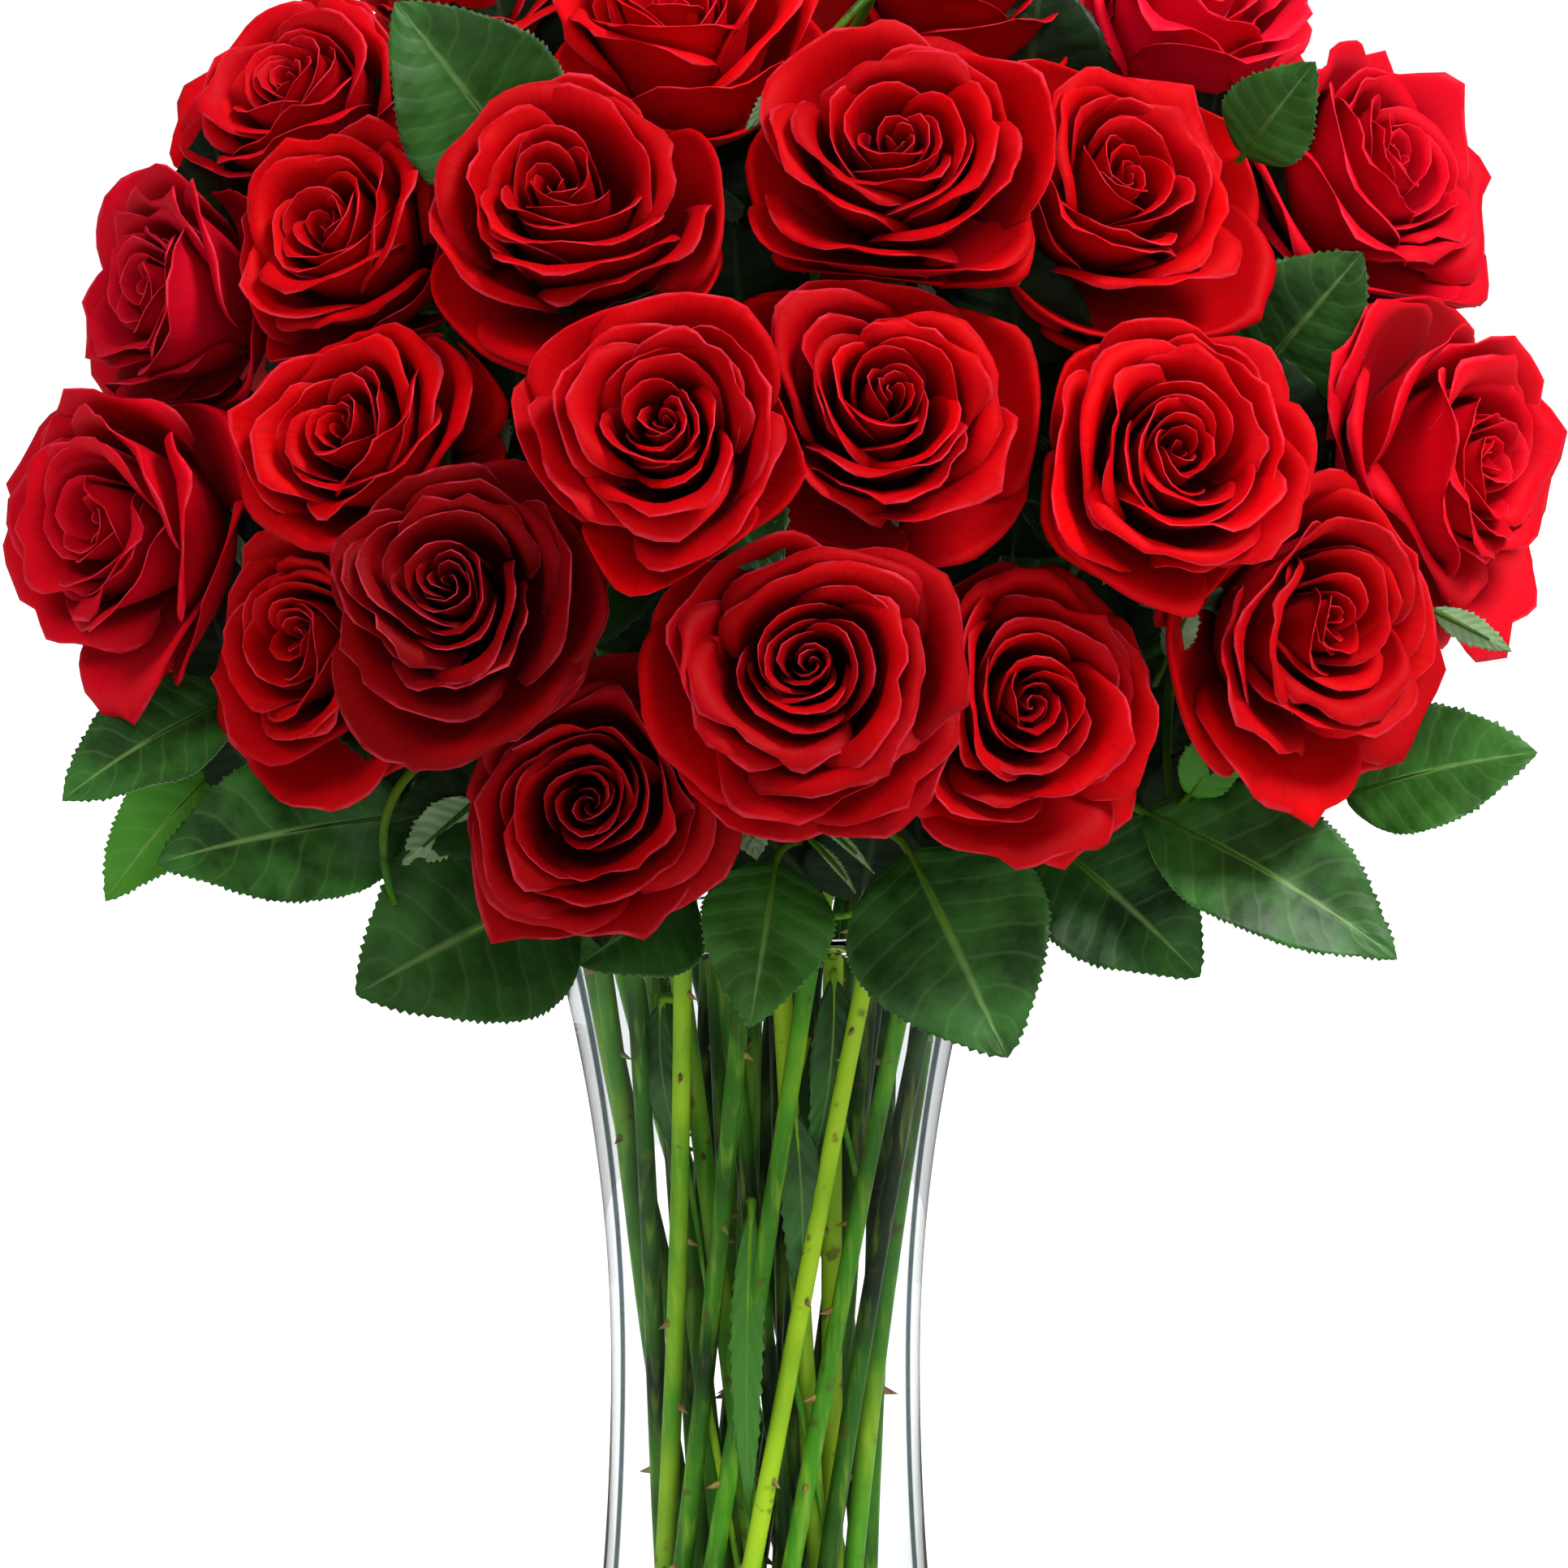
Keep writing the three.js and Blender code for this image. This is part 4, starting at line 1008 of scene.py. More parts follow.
def outer_petal(random, turn, kind):
    _, radius, top, lip, lip_length, half, t = kind
    wide = smooth((t - 0.8) / 0.2)
    return {
        "t": t,
        "radius": radius * random.uniform(0.93, 1.05),
        "top": top + random.uniform(-2.5, 2),
        "foot": 16,
        "lip": lip + random.uniform(-6, 6),
        "rise": 0.55,
        "roll": random.uniform(60, 140),
        "tip_roll": random.uniform(0.35, 1),
        "lip_length": lip_length * random.uniform(0.85, 1.2),
        "point": random.uniform(1, lerp(3.2, 6, wide)),
        "lean": random.uniform(-0.3, 0.3),
        "half": math.radians(half) * random.uniform(0.92, 1.08),
        "spiral": 2.4,
        "shoulder": lerp(0.24, 0.36, wide) * random.uniform(0.85, 1.15),
        "square": random.uniform(3.4, 5),
        "flap": lerp(0.2, 1.4, wide),
        "waves": random.uniform(2.5, 5),
        "phase": random.uniform(0, 2 * np.pi),
        "ruffle": 1.6 * random.uniform(0.6, 1.3),
        "crease": random.uniform(0.3, 1.2),
        "turn": turn + random.normal(0, 0.12),
        "shift": random.normal(0, 0.5, 2),
        "corners": [
            tuple(random.uniform(*most) for most in ((-0.95, 0.95), (0.4, lerp(2.4, 4, wide)), (0.06, 0.2)))
            for _ in range(4)
        ],
        "fray": 0.5,
        "dark": lerp(0.62, 0.2, wide),
        "light": lerp(1.04, 0.95, wide),
    }


def petal_forms(rose):
    """The petals of a bloom from its heart outwards, for a bloom of size 1."""
    random = rose.random
    rose.spin = 1 if random.random() < 0.5 else -1
    rose.warp = [
        (random.uniform(*most), random.uniform(0, 2 * np.pi)) for most in ((0.04, 0.14), (0.02, 0.07))
    ]
    dip = random.uniform(-1, 5)
    shift = random.normal(0, 1.6, 2)
    start = random.uniform(0, 2 * np.pi)
    forms = [inner_petal(random, k, start, rose.spin, shift, dip) for k in range(INNER_PETALS)]
    for kind in OUTER_PETALS:
        forms += [outer_petal(random, rose.loosest + order * np.pi / 2, kind) for order in kind[0]]
    for way in OPEN_PETALS.get(rose.name, ()):
        forms.append(outer_petal(random, math.radians(way), OPEN_PETAL))
    age = CRIMSON.get(rose.name, 0)
    for form in forms:
        form["ruffle"] *= 1 + age * form["t"]
        form["point"] *= 1 + 0.8 * age * form["t"]
        longer = 1 + 1.3 * age
        form["corners"] = [(at, length * longer, width) for at, length, width in form["corners"]]
        if form["t"] == 1:
            form["radius"] *= REACH.get(rose.name, 1)
    return forms


def bloom(rose):
    shell = Shell()
    for form in petal_forms(rose):
        columns = OUTSIDE_COLUMNS
        if form["t"] < 0.75:
            columns = HEART_COLUMNS if form["t"] < 0.3 else MIDDLE_COLUMNS
        grid, rise, lit = petal_grid(rose, form, columns)
        rows = len(grid)
        rim = np.zeros((rows, columns))
        rim[-1] = 1
        rim[rows // 2 :, [0, -1]] = 1
        thickness = lerp(PETAL_FOOT_THICKNESS, PETAL_RIM_THICKNESS, rise)
        values = {
            "rim": rim,
            # rise carries lit, how far each point is out of the painted shade at the petal's foot.
            "rise": lit,
            "layer": form["t"],
            "shade": rose.random.random(),
            # Painted shade and painted light for whole blooms, as their lists give.
            "dusky": PAINTED_BLOOM_SHADE.get(rose.name, 0),
            "bright": PAINTED_BLOOM_LIGHT.get(rose.name, 0),
            "crimson": CRIMSON.get(rose.name, 0),
        }
        shell.blade(grid, thickness, values)
    made = shell.piece(f"petals_{rose.name}", [PETAL])
    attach(made, "root")
    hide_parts(f"bloom_{rose.name}")


# Stems


def plan_stems():
    """Sets each rose's foot and neck: the lowest blooms stand in the outer ring and the highest in
    the inner one, in the order of their blooms round the vase."""

    def lift(rose):
        return math.atan2(rose.base[2] - VASE["height"], math.hypot(*rose.base[:2]))

    def bearing(rose):
        return math.atan2(rose.base[1], rose.base[0])

    by_lift = sorted(roses, key=lift)
    for count, neck, foot, twist in STEM_RINGS:
        members, by_lift = sorted(by_lift[:count], key=bearing), by_lift[count:]
        gap = 2 * np.pi / count
        offsets = [bearing(rose) - k * gap for k, rose in enumerate(members)]
        shift = math.atan2(np.sum(np.sin(offsets)), np.sum(np.cos(offsets)))
        for k, rose in enumerate(members):
            top = k * gap + shift
            low = top - math.radians(twist)
            rose.neck = np.array([neck * math.cos(top), neck * math.sin(top), VASE["height"]])
            rose.foot = np.array(
                [foot * math.cos(low), foot * math.sin(low), VASE["floor"] + STEM_FOOT]
            )


def draw_stems():
    """Sets each rose's path of points and radii: straight in the vase, then a curve that leaves
    along that line and arrives along the bloom's axis."""
    for rose in roses:
        lean = unit(rose.neck - rose.foot)
        hips = [rose.base - rose.axis * below * rose.size for below, _ in HIP]
        reach = np.linalg.norm(rose.neck - hips[0])
        out = rose.neck + lean * NECK_ARM * reach
        into = hips[0] - rose.axis * HIP_ARM * reach
        path = [rose.foot, rose.neck]
        for t in FREE_SHARES:
            w = ((1 - t) ** 3, 3 * t * (1 - t) ** 2, 3 * t**2 * (1 - t), t**3)
            path.append(w[0] * rose.neck + w[1] * out + w[2] * into + w[3] * hips[0])
        rose.path = np.array(path + hips)
        rose.radii = np.array(
            [STEM_RADIUS] * (2 + len(FREE_SHARES)) + [r * rose.size for _, r in HIP]
        )


def nearest(a, b, c, d):
    """The nearest points of two stretches, a to b and c to d, as shares along each. Rows are
    stretches."""
    p, q, r = b - a, d - c, a - c

    def dot(x, y):
        return np.sum(x * y, axis=-1)

    pp, qq, pq, pr, qr = dot(p, p), dot(q, q), dot(p, q), dot(p, r), dot(q, r)
    flat = pp * qq - pq * pq
    s = np.where(flat > 1e-9, np.clip((pq * qr - pr * qq) / np.maximum(flat, 1e-9), 0, 1), 0.5)
    t = np.clip((pq * s + qr) / qq, 0, 1)
    return np.clip((pq * t - pr) / pp, 0, 1), t


def part_stems():
    """Bends crossing stems clear of each other, a little at a time."""
    count, nodes = len(roses), len(roses[0].path)
    paths = np.array([rose.path for rose in roses])
    radii = np.array([rose.radii for rose in roses])
    loose = range(2, 2 + len(FREE_SHARES))
    # Each stretch m of a stem i with each stretch n of a stem j
    first, second = np.triu_indices(count, 1)
    m, n = np.divmod(np.arange((nodes - 1) ** 2), nodes - 1)
    i, j = np.repeat(first, len(m)), np.repeat(second, len(m))
    m, n = np.tile(m, len(first)), np.tile(n, len(first))

    def shortfall(i, j, m, n):
        """How far two stretches fall short of their least distance, the way from the second to the
        first, and where they are nearest."""
        ends = paths[i, m], paths[i, m + 1], paths[j, n], paths[j, n + 1]
        s, t = nearest(*ends)
        apart = lerp(ends[0], ends[1], s[..., None]) - lerp(ends[2], ends[3], t[..., None])
        width = lerp(radii[i, m], radii[i, m + 1], s) + lerp(radii[j, n], radii[j, n + 1], t)
        distance = np.linalg.norm(apart, axis=-1)
        return width + STEM_SPACING - distance, apart / distance[..., None], s, t

    for turn in range(PARTING_ROUNDS):
        for k in np.nonzero(shortfall(i, j, m, n)[0] > -NEARLY_SHORT)[0]:
            short, way, s, t = shortfall(i[k], j[k], m[k], n[k])
            if short <= 0:
                continue
            half = way * 0.5 * short
            for stem, stretch, at, push in ((i[k], m[k], s, half), (j[k], n[k], t, -half)):
                for node, weight in ((stretch, 1 - at), (stretch + 1, at)):
                    if node in loose:
                        paths[stem, node] += push * weight
        if turn <= EASED_ROUNDS:
            for node in loose:
                middle = (paths[:, node - 1] + paths[:, node + 1]) / 2
                paths[:, node] += (middle - paths[:, node]) * EASING
    for rose, path in zip(roses, paths):
        rose.path = path


def rounded(path, radii):
    """A path with its corners rounded off, within a share of the shorter stretch at each."""
    points, widths = [path[0]], [radii[0]]
    for k in range(1, len(path) - 1):
        before, after = path[k - 1] - path[k], path[k + 1] - path[k]
        cut = ROUNDING * min(np.linalg.norm(before), np.linalg.norm(after))
        start, end = path[k] + unit(before) * cut, path[k] + unit(after) * cut
        for t in np.linspace(0, 1, ROUNDING_STEPS):
            points.append(bezier_point(start, path[k], end, t))
            stretch, beyond, way = (before, k - 1, 1 - t) if t < 0.5 else (after, k + 1, t)
            near = way * cut / np.linalg.norm(stretch)
            widths.append(lerp(radii[k], radii[beyond], near * abs(2 * t - 1)))
    return np.array(points + [path[-1]]), np.array(widths + [radii[-1]])


def new_tree(name, inputs):
    """A Geometry Nodes tree with named inputs and a mesh for its output: the tree, the inputs'
    identifiers by their names, and what they give."""
    tree = bpy.data.node_groups.new(name, "GeometryNodeTree")
    sockets = {}
    for asked, kind, value in inputs:
        made = tree.interface.new_socket(asked, in_out="INPUT", socket_type=f"NodeSocket{kind}")
        if value is not None:
            made.default_value = value
        sockets[asked] = made.identifier
    tree.interface.new_socket("Mesh", in_out="OUTPUT", socket_type="NodeSocketGeometry")
    return tree, sockets, add_node(tree, "NodeGroupInput", out=None)


def stem_tree():
    """Stem: a tube along a curve whose points carry their radius, with thorns on it at random
    turns, bent back towards the root."""
    tree, sockets, given = new_tree(
        "rose_stem",
        (
            ("Curve", "Geometry", None),
            ("Sides", "Int", 12),
            ("Thorn Spacing", "Float", THORN_SPACING * MM),
            ("Thorn Length", "Float", THORN_LENGTH * MM),
            ("Thorn Chance", "Float", THORN_CHANCE),
            ("Seed", "Int", 0),
            ("Skin", "Material", None),
            ("Thorn Skin", "Material", None),
        ),
    )
    radius = add_node(tree, "GeometryNodeInputRadius")
    ring = add_node(
        tree, "GeometryNodeCurvePrimitiveCircle", {"Resolution": given["Sides"], "Radius": 1}, "Curve"
    )
    skin = add_node(
        tree,
        "GeometryNodeCurveToMesh",
        {"Curve": given["Curve"], "Profile Curve": ring, "Scale": radius, "Fill Caps": True},
    )
    skin = add_node(tree, "GeometryNodeSetMaterial", {0: skin, "Material": given["Skin"]})
    spots = add_node(
        tree,
        "GeometryNodeCurveToPoints",
        {"Curve": given["Curve"], "Length": given["Thorn Spacing"]},
        None,
        mode="LENGTH",
    )
    chosen = add_node(
        tree,
        "FunctionNodeRandomValue",
        {"Probability": given["Thorn Chance"], "Seed": given["Seed"]},
        3,
        data_type="BOOLEAN",
    )
    turn = add_node(
        tree,
        "FunctionNodeRandomValue",
        {2: 0, 3: 2 * math.pi, "Seed": given["Seed"]},
        1,
        data_type="FLOAT",
    )
    # The points' z runs along the stem. A thorn stands out along x and leans back towards the root.
    facing = spots["Rotation"]
    for axis, angle in (((0, 0, 1), turn), ((0, 1, 0), math.radians(THORN_LEAN))):
        about = add_node(tree, "FunctionNodeAxisAngleToRotation", {"Axis": axis, "Angle": angle})
        facing = add_node(
            tree, "FunctionNodeRotateRotation", (facing, about), rotation_space="LOCAL"
        )
    spike = add_node(
        tree,
        "GeometryNodeMeshCone",
        {
            "Vertices": 6,
            "Side Segments": 3,
            "Radius Top": THORN_TIP * MM,
            "Radius Bottom": THORN_RADIUS * MM,
            "Depth": given["Thorn Length"],
        },
        "Mesh",
    )
    # Its foot is sunk to just above the stem's axis, so its point stands clear of the skin.
    spike = add_node(
        tree,
        "GeometryNodeTransform",
        {0: spike, "Translation": (0, 0, THORN_LIFT * MM), "Scale": (1, THORN_FLATNESS, 1)},
    )
    thorns = add_node(
        tree,
        "GeometryNodeInstanceOnPoints",
        {"Points": spots["Points"], "Selection": chosen, "Instance": spike, "Rotation": facing},
    )
    thorns = add_node(tree, "GeometryNodeRealizeInstances", (thorns,))
    thorns = add_node(tree, "GeometryNodeSetMaterial", {0: thorns, "Material": given["Thorn Skin"]})
    joined = tree.nodes.new("GeometryNodeJoinGeometry")
    for part in (thorns, skin):
        tree.links.new(part, joined.inputs[0])
    smoothed = add_node(tree, "GeometryNodeSetShadeSmooth", (joined.outputs[0],))
    add_node(tree, "NodeGroupOutput", (smoothed,), None)
    return tree, sockets


def curve_object(name, points, radii):
    data = bpy.data.curves.new(name, "CURVE")
    data.dimensions = "3D"
    spline = data.splines.new("POLY")
    spline.points.add(len(points) - 1)
    for knot, point, radius in zip(spline.points, points, radii):
        knot.co = (*(float(c) * MM for c in point), 1)
        knot.radius = float(radius) * MM
    return linked(name, data)


def grown(tree, sockets, carrier, name, inputs):
    """Runs a Geometry Nodes tree on a curve, and returns its result as a plain mesh object."""
    modifier = carrier.modifiers.new(tree.name, "NODES")
    modifier.node_group = tree
    for key, value in inputs.items():
        modifier[sockets[key]] = value
    bpy.context.view_layer.update()
    evaluated = carrier.evaluated_get(bpy.context.evaluated_depsgraph_get())
    mesh = bpy.data.meshes.new_from_object(evaluated)
    carrier.modifiers.remove(modifier)
    bpy.data.objects.remove(carrier)
    mesh.name = name
    return linked(name, mesh)


def add_stem(rose, tree, sockets):
    path, radii = rounded(rose.path, rose.radii)
    carrier = curve_object(f"path_{rose.name}", path, radii)
    given = {"Seed": int(rose.name), "Skin": STEM, "Thorn Skin": THORN}
    made = grown(tree, sockets, carrier, f"stem_{rose.name}", given)
    tone = STEM_TONES.get(rose.name, rose.random.choice(OTHER_TONES))
    attribute = made.data.attributes.new("tone", "FLOAT", "POINT")
    attribute.data.foreach_set("value", np.full(len(made.data.vertices), tone))
    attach(made, "root")
    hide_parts(f"leafy_stem_{rose.name}")


# Leaves and sepals


def leaf_grid(base, tip, facing, width, random, teeth_pitch):
    """A saw-toothed blade: rows along it, columns from edge to edge."""
    length = np.linalg.norm(tip - base)
    along = (tip - base) / length
    up = unit(facing - along * np.dot(facing, along))
    across = np.cross(along, up)
    teeth = int(length * 1.1 / teeth_pitch)
    s = np.linspace(0, 1, teeth * 2 + 1)[:, None]
    u = np.array(ACROSS_FINE if teeth_pitch < COARSE_TEETH else ACROSS_COARSE)
    out = np.abs(u)
    half = width / 2 * np.sin(np.pi * s ** LEAF_OUTLINE[0]) ** LEAF_OUTLINE[1]
    # Each tooth leans towards the tip, and the teeth are uneven.
    saw = np.arange(len(s))[:, None] % 2 * np.minimum(1, half / 4)
    saw = saw * random.uniform(*TOOTH_UNEVENNESS, (len(s), 1))
    at_edge = out == 1
    reach = half * out + at_edge * TOOTH_DEPTH * (saw - 0.3)
    forward = at_edge * TOOTH_SWEEP * saw
    wave = random.uniform(*LEAF_WAVE)
    phase = random.uniform(0, 6.3, 2)
    left, right = (np.sin(turns * s + start) for turns, start in zip(LEAF_WAVES, phase))
    ripple = np.where(u < 0, left, right)
    # Between its side veins the blade swells.
    swell = np.abs(np.cos(np.pi * VEIN_PAIRS * (s - VEIN_SWEEP * out)))
    swell = VEIN_SWELL * swell * out * (1 - out) * 4
    lift = LEAF_ARCH * length * 4 * s * (1 - s) + LEAF_FOLD * reach
    lift = lift + (wave * ripple * u**2 + swell) * np.minimum(1, half / 8)
    return (
        base
        + (s * length + forward)[..., None] * along
        + (np.sign(u) * reach)[..., None] * across
        + lift[..., None] * up
    )


def hand_out_leaves():
    """Gives each leaf to the rose whose free stem passes nearest to where its stalk would join."""
    listed = [(*leaf, None, PAINTED_SHADE_OF_LEAVES.get(number, 0)) for number, leaf in enumerate(LEAVES)]
    listed[YOUNGEST_LEAF] = (*LEAVES[YOUNGEST_LEAF], 1, 0)
    # Shade leaves take full painted shade; pale leaves take none.
    listed += [(*leaf, 0, 1) for leaf in SHADE_LEAVES] + [(*leaf, 1, 0) for leaf in PALE_LEAVES]
    for base, tip, facing, width, fresh, deep in listed:
        base, tip, facing = (np.array(v, float) for v in (base, tip, facing))
        wanted = base - (0, 0, STALK_DROP)
        best = None
        for rose in roses:
            for k in range(1, len(rose.path) - 3):
                for t in (0, 0.25, 0.5, 0.75):
                    spot = lerp(rose.path[k], rose.path[k + 1], t)
                    distance = np.linalg.norm(spot - wanted)
                    if best is None or distance < best[0]:
                        best = distance, rose, spot
        pitch = COARSE_TEETH if deep == 1 else FINE_TEETH
        best[1].leaves.append((best[2], base, tip, facing, width, fresh, deep, pitch))


def curved(a, b, c, steps):
    """Points on the curve from a to c that b draws towards itself."""
    return bezier_point(*(np.asarray(v, float) for v in (a, b, c)), np.linspace(0, 1, steps)[:, None])


def add_leaf(shell, random, spot, base, tip, facing, width, fresh, deep, teeth_pitch):
    """A blade, with a stalk from the spot on the stem that runs on under it as its rib."""
    grid = leaf_grid(base, tip, facing, width, random, teeth_pitch)
    fresh = random.uniform(0, OLDER_LEAF_FRESHNESS) if fresh is None else fresh
    shell.blade(grid, LEAF_THICKNESS, {"fresh": fresh, "deep": deep})
    reach = np.linalg.norm(base - spot)
    stalk = curved(spot, base - unit(tip - base) * STALK_ARM * reach, base, 8)
    centre = grid.shape[1] // 2
    middle = grid[:, centre]
    up = unit(np.cross(grid[5, centre + 1] - grid[5, centre - 1], middle[8] - middle[4]))
    rib = middle[2 : int(len(middle) * RIB_END) : 3] - up * RIB_RADIUS
    path = np.concatenate([stalk[:-1], rib])
    radii = np.linspace(STALK_RADIUS, RIB_RADIUS, len(path))
    shell.tube(path, radii, 6, {"fresh": fresh, "deep": deep, "tone": STALK_TONE})


def add_sepals(shell, rose):
    """Five narrow pointed blades from under the bloom, bent back, with thread-like side teeth."""
    random = rose.random
    start = random.uniform(0, 2 * np.pi)
    for k in range(SEPALS):
        turn = start + 2 * np.pi * k / SEPALS + random.normal(0, 0.12)
        out = rose.side * math.cos(turn) + rose.across * math.sin(turn)
        beside = np.cross(rose.axis, out)
        length = random.uniform(*SEPAL_LENGTH)
        s = np.linspace(0, 1, 15)
        first, last = (random.uniform(*most) for most in SEPAL_BEND)
        bend = np.radians(lerp(first, last, s**1.2))
        above, away = walk(bend[:-1], length / (len(s) - 1))
        half = SEPAL_WIDTH / 2 * (1 - s) ** 0.75 * (0.75 + 0.5 * np.sin(np.pi * s)) + 0.25
        half = half + 0.8 * (np.arange(len(s)) % 4 == 3) * (s > 0.3) * (s < 0.9)
        u = np.linspace(-1, 1, 5)
        curl = 0.35 * half[:, None] * u**2
        twist = random.uniform(-5, 5) * s**2
        grid = (
            rose.base
            + (SEPAL_FOOT[0] + away)[:, None, None] * out
            + ((SEPAL_FOOT[1] + above) * rose.size)[:, None, None] * rose.axis
            + (half[:, None] * u + twist[:, None])[..., None] * beside
            + curl[..., None] * (rose.axis * 0.4 - out * 0.6)
        )
        shell.blade(grid, SEPAL_THICKNESS, {"fresh": 0.8, "deep": 0})


def add_spray(shell, rose):
    """Small leaves on the stem under the bloom, on short stalks. They fill the dark gaps between
    the blooms, darkened with painted shade."""
    random = rose.random
    near, far = rose.path[-3], rose.path[-4]
    stem = unit(near - far)
    side = unit(np.cross(stem, (0.3, 0.1, 1)))
    other = np.cross(stem, side)
    for share, turn in SPRAY:
        spot = lerp(near, far, share + random.uniform(0, 0.1))
        turn = turn + random.uniform(-0.4, 0.4) + int(rose.name)
        out = side * math.cos(turn) + other * math.sin(turn)
        reach = random.uniform(*SPRAY_REACH)
        base = spot + out * reach + stem * reach * 0.5
        way = unit(out + stem * random.uniform(0.1, 0.8))
        tip = base + way * random.uniform(*SPRAY_LENGTH)
        facing = unit(stem + random.normal(0, 0.25, 3))
        width = random.uniform(*SPRAY_WIDTH)
        add_leaf(shell, random, spot, base, tip, facing, width, 0.1, 0.8, COARSE_TEETH)


def ring_radius(ring, share):
    """How far from the axis a ring's stems pass, at a share of the way up them."""
    _, neck, foot, twist = ring
    low = foot * (1 - share)
    high = neck * share
    return math.sqrt(low**2 + high**2 + 2 * low * high * math.cos(math.radians(twist)))


def between_rings(heading, height):
    share = (height - VASE["floor"]) / (VASE["height"] - VASE["floor"])
    radius = lerp(ring_radius(STEM_RINGS[0], share), ring_radius(STEM_RINGS[1], share), 0.55)
    turn = math.radians(heading)
    return np.array([radius * math.sin(turn), -radius * math.cos(turn), height])


def on_stem(rose, height):
    return lerp(rose.foot, rose.neck, (height - rose.foot[2]) / (rose.neck[2] - rose.foot[2]))


def nearest_stem(place):
    """The rose whose stem passes nearest to a place under water, and the spot on that stem."""
    owner = min(roses, key=lambda rose: np.linalg.norm(on_stem(rose, place[2]) - place))
    return owner, on_stem(owner, place[2])


def hand_out_sunk_leaves():
    """Gives each leaf and side shoot under water to the nearest stem."""
    for rose in roses:
        rose.sunk = []
        rose.shoots = []
    for base, tip, width, fresh in SUNK_LEAVES:
        ends = between_rings(*base), between_rings(*tip)
        facing = unit((ends[0] + ends[1]) * (1, 1, 0))
        owner, spot = nearest_stem(ends[0])
        owner.sunk.append((spot, *ends, facing, width, fresh, SUNK_SHADE, COARSE_TEETH))
    for start, end, tone in SIDE_SHOOTS:
        path = [between_rings(*place) for place in np.linspace(start, end, 12)]
        owner, spot = nearest_stem(path[0])
        owner.shoots.append((np.array([spot, *path]), tone))


def add_foliage(rose):
    shell = Shell()
    add_sepals(shell, rose)
    add_spray(shell, rose)
    for leaf in rose.sunk:
        add_leaf(shell, rose.random, *leaf)
    for path, tone in rose.shoots:
        radii = np.linspace(SHOOT_RADIUS, SHOOT_TIP, len(path))
        shell.tube(path, radii, 8, {"fresh": 1, "deep": 0, "tone": tone})
    for leaf in rose.leaves:
        add_leaf(shell, rose.random, *leaf)
    for owner, bends in ARCHED_STALKS:
        if rose.name == owner:
            path = curved(*bends, ARCH_STEPS)
            radii = np.linspace(STALK_RADIUS, SHOOT_RADIUS, ARCH_STEPS)
            shell.tube(path, radii, 8, {"fresh": 1, "deep": 0, "tone": ARCH_TONE})
    made = shell.piece(f"foliage_{rose.name}", [LEAF, STEM])
    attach(made, "root")
    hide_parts(f"leafy_stem_{rose.name}")


# The vase and its water


def vase_radius(height):
    """The vase's outer radius: a parabola each way from the waist."""
    above = height > VASE["waist_height"]
    run = np.where(above, VASE["height"] - VASE["waist_height"], VASE["waist_height"])
    flare = np.where(above, VASE["mouth_flare"], VASE["foot_flare"])
    return VASE["waist_radius"] + flare * ((height - VASE["waist_height"]) / run) ** 2


def turned_tree():
    """A turned shape: a grid is wrapped round the z axis, its radius and height read from a curve
    drawn in the xz plane."""
    tree, sockets, given = new_tree(
        "turned_shape",
        (
            ("Profile", "Geometry", None),
            ("Profile Steps", "Int", 181),
            ("Turn Steps", "Int", 97),
            ("Finish", "Material", None),
        ),
    )
    size = {
        "Size X": 1,
        "Size Y": 1,
        "Vertices X": given["Profile Steps"],
        "Vertices Y": given["Turn Steps"],
    }
    grid = add_node(tree, "GeometryNodeMeshGrid", size, "Mesh")
    here = add_node(tree, "GeometryNodeInputPosition")
    split = add_node(tree, "ShaderNodeSeparateXYZ", (here,), None)
    share = add_node(tree, "ShaderNodeMath", (split[0], 0.5), operation="ADD")
    angle = add_node(tree, "ShaderNodeMath", (split[1], 2 * math.pi), operation="MULTIPLY")
    drawn = add_node(
        tree,
        "GeometryNodeSampleCurve",
        {"Curves": given["Profile"], "Factor": share},
        "Position",
        mode="FACTOR",
    )
    drawn = add_node(tree, "ShaderNodeSeparateXYZ", (drawn,), None)
    place = []
    for operation in ("COSINE", "SINE"):
        turn = add_node(tree, "ShaderNodeMath", (angle,), operation=operation)
        place.append(add_node(tree, "ShaderNodeMath", (drawn[0], turn), operation="MULTIPLY"))
    wrapped = add_node(tree, "ShaderNodeCombineXYZ", (*place, drawn[2]))
    moved = add_node(tree, "GeometryNodeSetPosition", {0: grid, "Position": wrapped})
    closed = add_node(tree, "GeometryNodeMergeByDistance", {0: moved, "Distance": 0.002 * MM})
    smoothed = add_node(tree, "GeometryNodeSetShadeSmooth", (closed,))
    done = add_node(tree, "GeometryNodeSetMaterial", {0: smoothed, "Material": given["Finish"]})
    add_node(tree, "NodeGroupOutput", (done,), None)
    return tree, sockets


def arc(centre, radius, start, end, steps):
    """Points (radius, height) on an arc, by angles in degrees from outwards towards up."""
    turn = np.radians(np.linspace(start, end, steps))
    return np.stack([centre[0] + radius * np.cos(turn), centre[1] + radius * np.sin(turn)], 1)


def turned(name, profile, finish, tree, sockets):
    """A turned piece from a profile of (radius, height) that starts and ends on the axis."""
    points = [(r, 0, z) for r, z in np.concatenate(profile)]
    carrier = curve_object(f"profile_{name}", points, np.ones(len(points)))
    made = grown(tree, sockets, carrier, name, {"Finish": finish})
    shape = made.data
    # Where the faces point inwards, the volume that they close comes out below zero.
    volume = 0
    for face in shape.polygons:
        corners = [shape.vertices[i].co for i in face.vertices]
        for k in range(1, len(corners) - 1):
            volume += corners[0].dot(corners[k].cross(corners[k + 1]))
    if volume < 0:
        shape.flip_normals()
    # The stems inside take their light straight, so that it is as crisp as on the blooms.
    made.visible_diffuse = False
    made.visible_shadow = False
    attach(made, "root")
    return made


